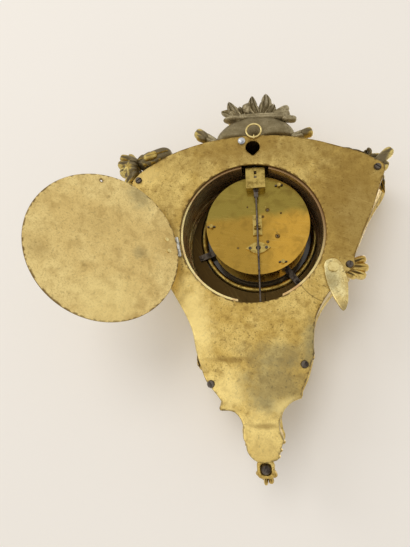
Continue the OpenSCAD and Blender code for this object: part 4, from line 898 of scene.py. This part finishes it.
class CLOCK_OT_casting(bpy.types.Operator):
    """Build the cast case: its flared side, its moulded front and the seat of the dial"""
    bl_idname = "clock.casting"
    bl_label = "Case casting"

    def execute(self, context):
        count = 840
        outline = even(spline(PLATE_OUTLINE, 8), count)
        cavity = even(spline(CAVITY_OUTLINE, 12), 600)
        hollow = cavity[((outline[:, None] - cavity[None]) ** 2).sum(-1).argmin(1)]
        # below the hollow a ring of the foot's own form keeps the closing faces inside the narrow neck
        x, z = outline.T
        foot = ease(-180, -190, z)[:, None]
        neck = np.stack([1.5 + 0.5 * (x - 1.5), z + 3 * ease(-215, -230, z)], 1)
        neck = hollow * (1 - foot) + neck * foot
        # the side, with a bead and a hollow near the back edge, and a hollow before the flare's lip
        path = spline(CASE_SIDE, 5, closed=False)
        side = np.array([case_row(outline, *row) for row in path])
        depth, share = path[:, 1], path[:, 2]
        mould = (0.35 * hump(depth, -6.5, 1.1) - 0.5 * hump(depth, -8.8, 0.9)
                 + 0.8 * hump(depth, -40.4, 1.2) - 0.6 * hump(depth, -37.2, 1.0))
        side[:, :, ::2] += mould[:, None, None] * outward(outline)
        # a run of gadroons round the border, each ten points of the outline long
        swell = np.abs(np.sin(np.pi * np.arange(count) / 10.0))
        run = (hump(share, 0.9, 0.035) * (depth < -43.3))[:, None]
        side[:, :, 1] -= 1.1 * run * swell
        relief_side = np.clip(0.55 + 0.6 * mould, 0, 1)[:, None]
        relief_side = np.clip(relief_side + run * (0.5 * swell - 0.45), 0, 1)
        # the front runs from the border to the dial's seat, with a rib and a sunk panel of small bosses
        edge = side[-1]
        aim = edge[:, ::2] - MIDDLE
        far = np.linalg.norm(aim, axis=1)
        way = aim / far[:, None]
        w = np.linspace(0, 1, 26)[1:, None]
        x, z = (edge[:, ::2] * (1 - w[..., None]) + (MIDDLE + SEAT_R * way) * w[..., None]).transpose(2, 0, 1)
        drop = ease(0, 0.8, w)
        width = far - SEAT_R
        panel = ease(0.1, 0.2, w) * (1 - ease(0.8, 0.92, w)) * ease(4, 12, width)
        weave = np.maximum(np.abs(np.sin(np.pi * (x + z) / 7.0)), np.abs(np.sin(np.pi * (x - z) / 7.0)))
        boss = 1 - ease(0.72, 0.98, weave)
        raised = 1.3 * hump(w, 0.06, 0.05) * ease(3, 9, width) + panel * (0.9 * boss - 1.1)
        front = np.stack([x, edge[:, 1] * (1 - drop) + CASE_FRONT * drop - raised, z], -1)
        relief_front = np.clip(0.3 + 0.5 * raised + 0.4 * boss * panel, 0, 1)
        # the seat's ring, the inner wall and the ring that closes the back
        seat = [(SEAT_R, CASE_FRONT), (SEAT_R, SEAT_Y), (SEAT_R - 0.6, SEAT_Y - 0.05), (49.4, SEAT_Y),
                (48.8, SEAT_Y + 0.6), (48.8, CASE_FRONT + 3)]
        within = [np.insert(MIDDLE + r * way, 1, y, axis=1) for r, y in seat]
        within += [case_row(hollow, *row) for row in CASE_INSIDE]
        within.append(np.insert(neck, 1, PLATE_FRONT, axis=1))
        grid = np.concatenate([side, front, within])
        relief = np.concatenate([relief_side, relief_front, np.zeros((len(within), count))])
        build("case_casting", [skin(grid, relief, wrap_rows=True)], "case", "cast", ["case_body"],
              sharp=50.0)
        return {"FINISHED"}


def shell():
    """The crest's shell seen from the back: an arch of fat ribs from one side to the other. At share t of the
    arch its section is an oval 19 mm wide that grows thin towards both ends and is ribbed on its back."""
    t, p = steps(70, 48)
    a = np.pi * (1.02 - 1.04 * t)
    close = np.clip(1 - np.abs(2 * t - 1) ** 12, 0, 1) ** 0.5
    out = np.cos(p)
    rib = np.abs(np.cos(5.5 * np.pi * t))
    r = 10.5 + 9.5 * out
    high = 9.5 * close * np.sin(p) * (0.9 + 0.12 * rib * ease(-0.2, 1, out))
    return solid(-2.3 + 1.62 * r * np.cos(a), -14.0 + high, 14 + 0.98 * r * np.sin(a),
                 0.02 + 0.08 * rib + 0.24 * ease(0.5, 1, out))


def collar():
    """The finial's collar round its screw: a ring of round section, squared by letting its radius grow by a
    fifth of the squared sine of twice the angle."""
    q, around = FULL_TURN * np.arange(20)[:, None] / 20, FULL_TURN * np.arange(64)[None, :] / 64
    r = (4.3 + 1.5 * np.cos(q)) * (1 + 0.2 * np.sin(2 * around) ** 2)
    return solid(FINIAL_SCREW[0] + r * np.cos(around), -2.7 + 1.8 * np.sin(q),
                 FINIAL_SCREW[1] + r * np.sin(around), 0.6 + 0.4 * np.sin(q), wrap_rows=True)


def ornaments():
    """The cast ornament, piece by piece: name, slot, finish, the node that it stands for, and its parts."""
    crest = [
        shell(), lobe((24, 34.5), (-33, 31.5), 7.5, -13, 13, 0, 0.15, 60),
        leaf((-8, 32), (-12.5, 57), 12, 2, -13, 11, 2, 3, 0.6),
        leaf((-6, 33), (-1, 54), 9, -2, -11, 10, 1, 2, 0.6),
        leaf((-11, 32), (-19, 45), 9.5, 1, -12, 10, 1, 2, 0.6),
        leaf((8, 31), (25.5, 43), 10, 2, -12, 10, 2, 3, 0.6),
        leaf((9, 32), (19, 50.5), 9.5, -1, -11, 10, 1, 3, 0.6),
        leaf((7, 32), (10, 46.5), 8, 0, -13, 10, 1, 2, 0.6), bud((3.4, 42), 5.0, -12, (1, 1, 1.2), 5, 0.12),
        lobe((-17, 34), (-31, 41), 6.5, -12, 8, 1), lobe((-17, 33), (-31.5, 35.5), 6.5, -12, 8, 1),
        lobe((-24, 29), (-36.5, 28.6), 5.5, -11, 8, 1),
        lobe((28, 12), (42, 22), 9, -13, 10), lobe((-30, 12), (-43, 15.5), 8, -13, 10),
        leaf((-6, 30), (-10, 50), 12, 0, -19, 8, 4), leaf((10, 28), (20, 44), 11, 0, -19, 8, 4),
        leaf((-14, 28), (-27, 38), 10, 0, -19, 8, 4)]
    buds = [
        lobe((36, 17), (47.5, 26.5), 9.5, -12.5, 10.5, 1, 0.3), lobe((38, 15), (46, 20), 6, -10, 8, 0, 0.2),
        lobe((-38, 14), (-48.5, 17), 8.5, -12.5, 10.5, 1, 0.3)]
    hinge_corner = [
        lobe((97, -1), (67, 7.5), 16, -13, 20, 0, 0.08, 40, -0.5),
        leaf((96, 0), (69, 7), 13, 1, -8, 11.5, 0, 4, 0.5),
        lobe((90, 0), (78, 4), 7.5, -4.5, 7, 0, 0.3, shade=0.4), lobe((94, 0), (112.5, 7), 8, -12, 14),
        lobe((95, -3), (114, 0), 8, -11, 14), lobe((95, -6), (112, -8), 8.5, -11, 14),
        lobe((96, -4), (106, 9.5), 9, -14, 14), lobe((96, -6), (106, -19), 9.5, -13, 15),
        bud((103, -5), 7.5, -10, (1, 0.8, 1.2), 6, 0.12), leaf((106, -8), (99, -34), 10, 2, -24, 13),
        scroll((100, -8), 6.0, 1.4, 60, 4.6, -22, 14)]
    latch_corner = [
        lobe((-92, -18), (-106, -6), 9, -11, 12), lobe((-94, -16), (-103, -19), 7, -14, 12),
        leaf((-98, -14), (-101, -36), 8, 1, -24, 11), leaf((-62, -1), (-90, -9), 7, 1.5, -10, 9),
        scroll((-86.5, -8.5), 3.6, 1.2, 100, 2.6, -9, 7), lobe((-84, -8), (-102, -9), 11, -22, 16)]
    husks = [
        leaf((41, -171), (46.5, -159), 6, 0, -9, 9, 0, 3),
        leaf((-31.5, -167), (-37, -156), 6, 0, -9, 9, 0, 3), bud((42.5, -168), 2.2, -8),
        bud((-33, -165), 2.2, -8), lobe((-9, -219), (-13.8, -217), 2.6, -6, 7),
        lobe((-8, -223), (-11.6, -222.5), 2.4, -6, 7), lobe((-7, -226), (-10, -227), 2.4, -6, 7),
        lobe((10, -219), (13.4, -219.5), 2.4, -6, 7)]
    finial = [
        collar(), bud((0, -235), 6.6, -9, (1, 1, 1.15), 8, 0.1), lobe((-3, -233), (-6.5, -239.5), 4.2, -6, 8),
        lobe((-2.5, -236), (-3.4, -243.5), 4, -6, 8), lobe((3, -234), (6, -238.5), 3.6, -6, 8),
        lobe((0.5, -236), (0.2, -244.5), 3.2, -6, 8), lobe((0, -236), (0, -227), 9, -8, 10)]
    spray = [
        leaf((0, -195), (0, -134), 17, 0, -40, 12, 5, 7), leaf((0, -206), (0, -224), 12, 0, -34, 10, 2),
        leaf((0, -206), (0, -188), 10, 0, -35, 9, 2, 3), bud((0, -140), 4.4, -46.5, (1, 0.8, 1.2), 8, 0.14),
        bud((0, 1), 4.6, -45.5, (1, 0.8, 1), 8, 0.14)]
    for s, at in ((-1, 76), (1, 79)):
        spray += [
            leaf((s * 3, -150), (s * 24, -128), 15, s * -3, -44.5, 9, 2, 5),
            leaf((s * 2, -165), (s * 22, -152), 12, s * -2, -41, 9, 3),
            leaf((0, 2), (s * 30, -3), 10, s * -2, -44.5, 7, 2),
            leaf((s * at, -26), (s * (at - 32), -8), 12, s * 3, -44.5, 8, 2, 5),
            leaf((s * at, -26), (s * (at - 7), -62), 12, s * 3, -44.5, 8, 2, 5),
            leaf((s * (at - 2), -28), (s * (at + 14), -14), 11, 0, -42.5, 8, 2, 3),
            scroll((s * 17, -141), 5.0, s * 1.3, 90, 3.4, -44, 7),
            scroll((s * (at - 16), -24), 5.0, s * 1.3, 60, 3.4, -45, 7),
            bud((s * at, -27), 4.6, -46, (1, 0.8, 1), 8, 0.14)]
    rows = [("crest_casting", "bronze", "bronze", "crest", crest),
            ("crest_buds", "gilding", "tips", None, buds),
            ("hinge_side_scroll_casting", "gilding", "tips", "hinge_side_scroll", hinge_corner),
            ("latch_side_scroll_casting", "gilding", "tips", "latch_side_scroll", latch_corner)]
    # the side leaves stand 8 mm further out on the hinge's side
    for s, far, node in ((-1, 0, "latch_side_leaf"), (1, 8, "hinge_side_leaf")):
        lumps = [lobe((s * (x0 + far), z0), (s * (x1 + far), z1), width, y, depth)
                 for x0, z0, x1, z1, width, y, depth in (
                     (62, -98, 78, -92.5, 7, -8, 11), (63, -99, 79, -100, 7.5, -7, 11),
                     (62, -101, 77, -106, 7, -9, 12), (60, -102, 70, -106.5, 6, -7, 9))]
        lumps.append(leaf((s * (58 + far), -99), (s * (76 + far), -99), 14, 0, -15, 12))
        rows.append((node + "_casting", "gilding", "cast", node, lumps))
    return rows + [("side_husks_casting", "gilding", "cast", "side_husks", husks),
                   ("foot_finial_casting", "bronze", "cast", "bottom_finial", finial),
                   ("apron_spray_casting", "gilding", "cast", "apron_ornament", spray)]


class CLOCK_OT_ornament(bpy.types.Operator):
    """Build the cast crest, corner scrolls, side leaves, husks, foot finial and front spray"""
    bl_idname = "clock.ornament"
    bl_label = "Cast ornament"

    def execute(self, context):
        for name, slot, finish, node, parts in ornaments():
            build(name, parts, "case", finish, [node] if node else [])
        return {"FINISHED"}


class CLOCK_OT_hanging(bpy.types.Operator):
    """Finish the hanging ring, its staple, the domed pin and the case's screws"""
    bl_idname = "clock.hanging"
    bl_label = "Ring, pin and screws"

    def execute(self, context):
        finish_nodes("wire", "hanging_ring", "ring_staple")
        finish_nodes("bright", "top_pin")
        finish_nodes("steel", "case_screws")
        return {"FINISHED"}


class CLOCK_OT_movement(bpy.types.Operator):
    """Finish the movement, the train and the pendulum, and line the opening with its dark drum"""
    bl_idname = "clock.movement"
    bl_label = "Movement"

    def execute(self, context):
        finish_nodes("movement", "movement_back_plate", "movement_front_plate")
        finish_nodes("parts", "pillars", "suspension_block", "barrel_cock", "centre_bridge", "barrel",
                     "intermediate_wheel", "centre_wheel", "third_wheel", "escape_wheel", "crutch",
                     "pendulum_bob", "hand_collet", "minute_wheel", "hour_wheel")
        finish_nodes("steel", "taper_pins", "movement_brackets", "movement_screws", "regulating_screw",
                     "suspension_spring", "mainspring", "barrel_arbor", "ratchet_wheel", "click",
                     "click_spring", "anchor", "pendulum_rod", "cannon_pinion")
        finish_nodes("drum", "drum")
        bead = np.array([(52.7, -0.5), (52.3, -0.35), (52.05, 0), (52.3, 0.35), (52.7, 0.5)])
        beads = [lathe(bead + (0, y), OPENING, 180) for y in (-30.5, -36.5, -39.5)]
        build("drum_beads", beads, "case", "drum", sharp=60.0)
        seat = [(43.6, -43.4), (48.4, -43.4), (48.4, -42.2), (47.9, -41.8), (47.3, -42.2), (45.2, -42.2),
                (44.6, -41.6), (44.0, -41.9), (43.6, -42.4)]
        build("dial_seat_ring", [lathe(seat, MIDDLE, 180)], "case", "parts", sharp=60.0)
        # sections of a cup and of the pivot's end in it, in radii of the cup and heights over the plate
        cup = np.array([(0.45, 0), (1, 0), (1, 0.24), (0.8, 0.3), (0.45, 0.08)])
        end = np.array([(0, 0), (0.44, 0), (0.44, 0.12), (0.3, 0.2), (0, 0.22)])
        for name, section, count, slot, finish in (("pivot_cups", cup, 32, "brass", "oiled"),
                                                   ("pivot_ends", end, 24, "steel", "steel")):
            parts = [lathe(np.maximum(section * (r, 1), (NEAR_AXIS, 0)) + (0, MOVEMENT_BACK), (x, z), count)
                     for x, z, r in PIVOTS]
            build(name, parts, "case", finish, sharp=60.0)
        return {"FINISHED"}


class CLOCK_OT_dial(bpy.types.Operator):
    """Build the enamel dial with plain figures and minute marks, and finish the hands"""
    bl_idname = "clock.dial"
    bl_label = "Dial and hands"

    def execute(self, context):
        holes = [circle(MIDDLE, 3.0, 40), circle((-1, -79.5), 3.4, 40)]
        parts = sheet(circle(MIDDLE, DIAL_R, 200), holes, y0=DIAL_FRONT, y1=DIAL_FRONT + 1.6, edge=0.5,
                      spacing=4.0)
        build("dial_enamel", parts, "case", "enamel", ["dial"])
        marks = []
        for hour, letters in enumerate("XII I II III IIII V VI VII VIII IX X XI".split()):
            shapes, wide = strokes(letters)
            turn = -math.radians(30 * hour)
            # seen from the front, X runs to the right, and the figures' feet point at the middle
            x, z = (shapes - (wide / 2, FIGURE_HIGH / 2 - FIGURE_R)).transpose(2, 0, 1)
            c, s = math.cos(turn), math.sin(turn)
            marks.append(np.stack([x * c - z * s, x * s + z * c], -1))
        minute = np.arange(60)
        a = np.radians(minute * 6.0)
        half = np.where(minute % 5 == 0, 0.45, 0.16)[:, None]
        radial, across = np.stack([np.sin(a), np.cos(a)], 1), np.stack([np.cos(a), -np.sin(a)], 1)
        marks.append(np.stack([radial * r + across * side * half for r, side in (
            (44.2, -1), (44.2, 1), (46.2, 1), (46.2, -1))], 1))
        low, high = DIAL_FRONT - 0.04, DIAL_FRONT + 0.05
        figures = [slabs(MIDDLE + np.concatenate(marks), low, high)]
        figures += [lathe([(r - 0.09, low), (r + 0.09, low), (r + 0.09, high), (r - 0.09, high)], MIDDLE, 180)
                    for r in (44.0, 46.4)]
        build("dial_figures", figures, "case", "fired")
        finish_nodes("copper", "dial_feet")
        finish_nodes("blued", "hour_hand", "minute_hand")
        return {"FINISHED"}


class CLOCK_OT_bezel(bpy.types.Operator):
    """Build the beaded bezel and finish its ring, its pin and its glass"""
    bl_idname = "clock.bezel"
    bl_label = "Bezel and glass"

    def execute(self, context):
        profile = [(49.6, -50.3), (58.7, -50.3), (59, -50.6), (59, -51.6), (58.6, -52.2), (58.5, -53),
                   (58.2, -54.6), (57.4, -55.9), (56.3, -56.5), (55.8, -56.2), (55.2, -56.9), (54.2, -57.3),
                   (53.2, -56.9), (52.6, -56.3), (51.6, -56.6), (50.4, -56.3), (48.9, -55.6), (48.6, -55.2),
                   (48.6, -55.0), (49.6, -55.0)]
        beads = sizes().bead_count

        def pearls(angle, p):
            """Beads on the outer moulding: the absolute cosine of half the beads times the angle, in a narrow
            band of the profile."""
            band = hump(p[:, :1], 57.9, 0.9) * (p[:, 1:] < -52.5)
            return band * 0.45 * (np.abs(np.cos(beads * angle / 2)) - 0.6)
        rim = lathe(spline(profile, 3), MIDDLE, beads * 8, pearls)
        # the knuckle is turned about Y and then laid along Z
        points, faces, relief = lathe([(0.86, 0), (1.9, 0), (1.9, 3.8), (0.86, 3.8)], (0, 0), 32)
        knuckle = (points[:, [0, 2, 1]] + np.array([60.6, -50.5, -61.9]), faces, relief)
        tab = slabs(np.array([[(56.9, -61.9), (60.0, -61.9), (60.0, -58.1), (56.9, -58.1)]]), -52.1, -50.9)
        build("bezel_beaded", [rim, knuckle, tab], "front_bezel", "cast", ["bezel"], sharp=45.0)
        finish_nodes("parts", "dial_ring")
        finish_nodes("bright", "bezel_hinge_pin")
        finish_nodes("glass", "glass")
        return {"FINISHED"}


class CLOCK_OT_stage(bpy.types.Operator):
    """Set the pale table that the clock lies on, the lamps, the world and the camera"""
    bl_idname = "clock.stage"
    bl_label = "Stage"

    def execute(self, context):
        scene = context.scene
        # the table is an upright plane behind the clock's front, and clear when it is seen from there
        half = 3.0
        corners = [(x * half, TABLE_Y * MM, z * half) for x, z in ((-1, 1), (1, 1), (1, -1), (-1, -1))]
        mesh = bpy.data.meshes.new("table")
        mesh.from_pydata(corners, [], [(0, 1, 2, 3)])
        table = bpy.data.objects.new("table", mesh)
        scene.collection.objects.link(table)
        table.visible_diffuse = table.visible_glossy = False
        table.visible_transmission = table.visible_shadow = False
        finish = bpy.data.materials.new("Pale Table")
        finish.use_nodes = True
        tree = finish.node_tree
        tree.nodes.clear()
        paper = noise(tree, add(tree, "TexCoord", {}).outputs["Object"], 3.0, 2.0)
        pale = add(tree, "BsdfDiffuse", {"Color": mix(tree, paper, tone(249, 245, 240), tone(245, 241, 236))})
        clear = add(tree, "BsdfTransparent", {})
        side = add(tree, "NewGeometry", {}).outputs["Backfacing"]
        both = add(tree, "MixShader", {0: side, 1: pale.outputs[0], 2: clear.outputs[0]})
        add(tree, "OutputMaterial", {"Surface": both.outputs[0]})
        mesh.materials.append(finish)
        # the world is a little dimmer as a light than it looks to the camera and in reflections
        world = bpy.data.worlds.new("Studio")
        scene.world = world
        world.use_nodes = True
        tree = world.node_tree
        tree.nodes.clear()
        path = add(tree, "LightPath", {}).outputs
        seen = sums(tree, "MAXIMUM", path["Is Camera Ray"], path["Is Glossy Ray"])
        seen = sums(tree, "MAXIMUM", seen, path["Is Transmission Ray"])
        strength = mix(tree, seen, 0.67, 1.0, "FLOAT")
        sky = add(tree, "Background", {"Color": tone(241, 237, 230), "Strength": strength})
        add(tree, "OutputWorld", {"Surface": sky.outputs[0]})
        # lamps: place in metres, size, power, and whether metal shows their reflection
        for name, place, size, power, shines in (
                ("key", (0.4, 2.2, 0.8), 1.1, sizes().key_power, False),
                ("side", (1.7, 1.7, 1.1), 1.0, 8.0, True), ("low", (0.9, 2.2, -0.5), 1.0, 4.0, True),
                ("front_fill", (-0.5, -1.0, 0.4), 0.9, 5.0, True)):
            lamp = bpy.data.lights.new(name, "AREA")
            lamp.size = size
            lamp.energy = power
            lamp.color = (1.0, 0.985, 0.96)
            holder = bpy.data.objects.new(name, lamp)
            holder.location = place
            aim = Vector((0, 0, -0.1)) - Vector(place)
            holder.rotation_euler = aim.to_track_quat("-Z", "Y").to_euler()
            holder.visible_camera = False
            holder.visible_glossy = shines
            scene.collection.objects.link(holder)
        lens = bpy.data.cameras.new("camera")
        lens.lens = sizes().camera_lens
        lens.sensor_width = 36.0
        lens.clip_start = 0.01
        lens.clip_end = 20.0
        aim = (CAMERA_AIM - CAMERA_PLACE).normalized()
        level = aim.cross(Vector((0, 0, 1))).normalized()
        up = level.cross(aim) * math.cos(CAMERA_ROLL) + level * math.sin(CAMERA_ROLL)
        turned = Matrix((aim.cross(up).normalized(), up, -aim)).transposed().to_4x4()
        camera = bpy.data.objects.new("camera", lens)
        camera.matrix_world = Matrix.Translation(CAMERA_PLACE * MM) @ turned
        scene.collection.objects.link(camera)
        scene.camera = camera
        scene.view_settings.view_transform = "Standard"
        return {"FINISHED"}


class CLOCK_PT_panel(bpy.types.Panel):
    """The clock's builders, one for each piece or group of pieces"""
    bl_idname = "CLOCK_PT_panel"
    bl_label = "Alcove clock"
    bl_space_type = "VIEW_3D"
    bl_region_type = "UI"
    bl_category = "Clock"

    def draw(self, context):
        for group_name in ("clock_sizes", "clock_colours"):
            settings = getattr(context.scene, group_name)
            for key in settings.__annotations__:
                self.layout.prop(settings, key)
        for operator in OPERATORS:
            self.layout.operator(operator.bl_idname)


OPERATORS = (CLOCK_OT_stage, CLOCK_OT_back_plate, CLOCK_OT_door, CLOCK_OT_latch, CLOCK_OT_casting,
             CLOCK_OT_ornament, CLOCK_OT_hanging, CLOCK_OT_movement, CLOCK_OT_dial, CLOCK_OT_bezel)
CLASSES = (ClockColours, ClockSizes) + OPERATORS + (CLOCK_PT_panel,)


def register():
    """Adds the clock's classes and its settings on the scene."""
    for one in CLASSES:
        bpy.utils.register_class(one)
    bpy.types.Scene.clock_sizes = bpy.props.PointerProperty(type=ClockSizes)
    bpy.types.Scene.clock_colours = bpy.props.PointerProperty(type=ClockColours)


def unregister():
    """Takes the settings and the classes away again."""
    del bpy.types.Scene.clock_colours
    del bpy.types.Scene.clock_sizes
    for one in reversed(CLASSES):
        bpy.utils.unregister_class(one)


def main():
    register()
    for operator in OPERATORS:
        group_name, call = operator.bl_idname.split(".")
        getattr(getattr(bpy.ops, group_name), call)()


if __name__ == "__main__":
    main()
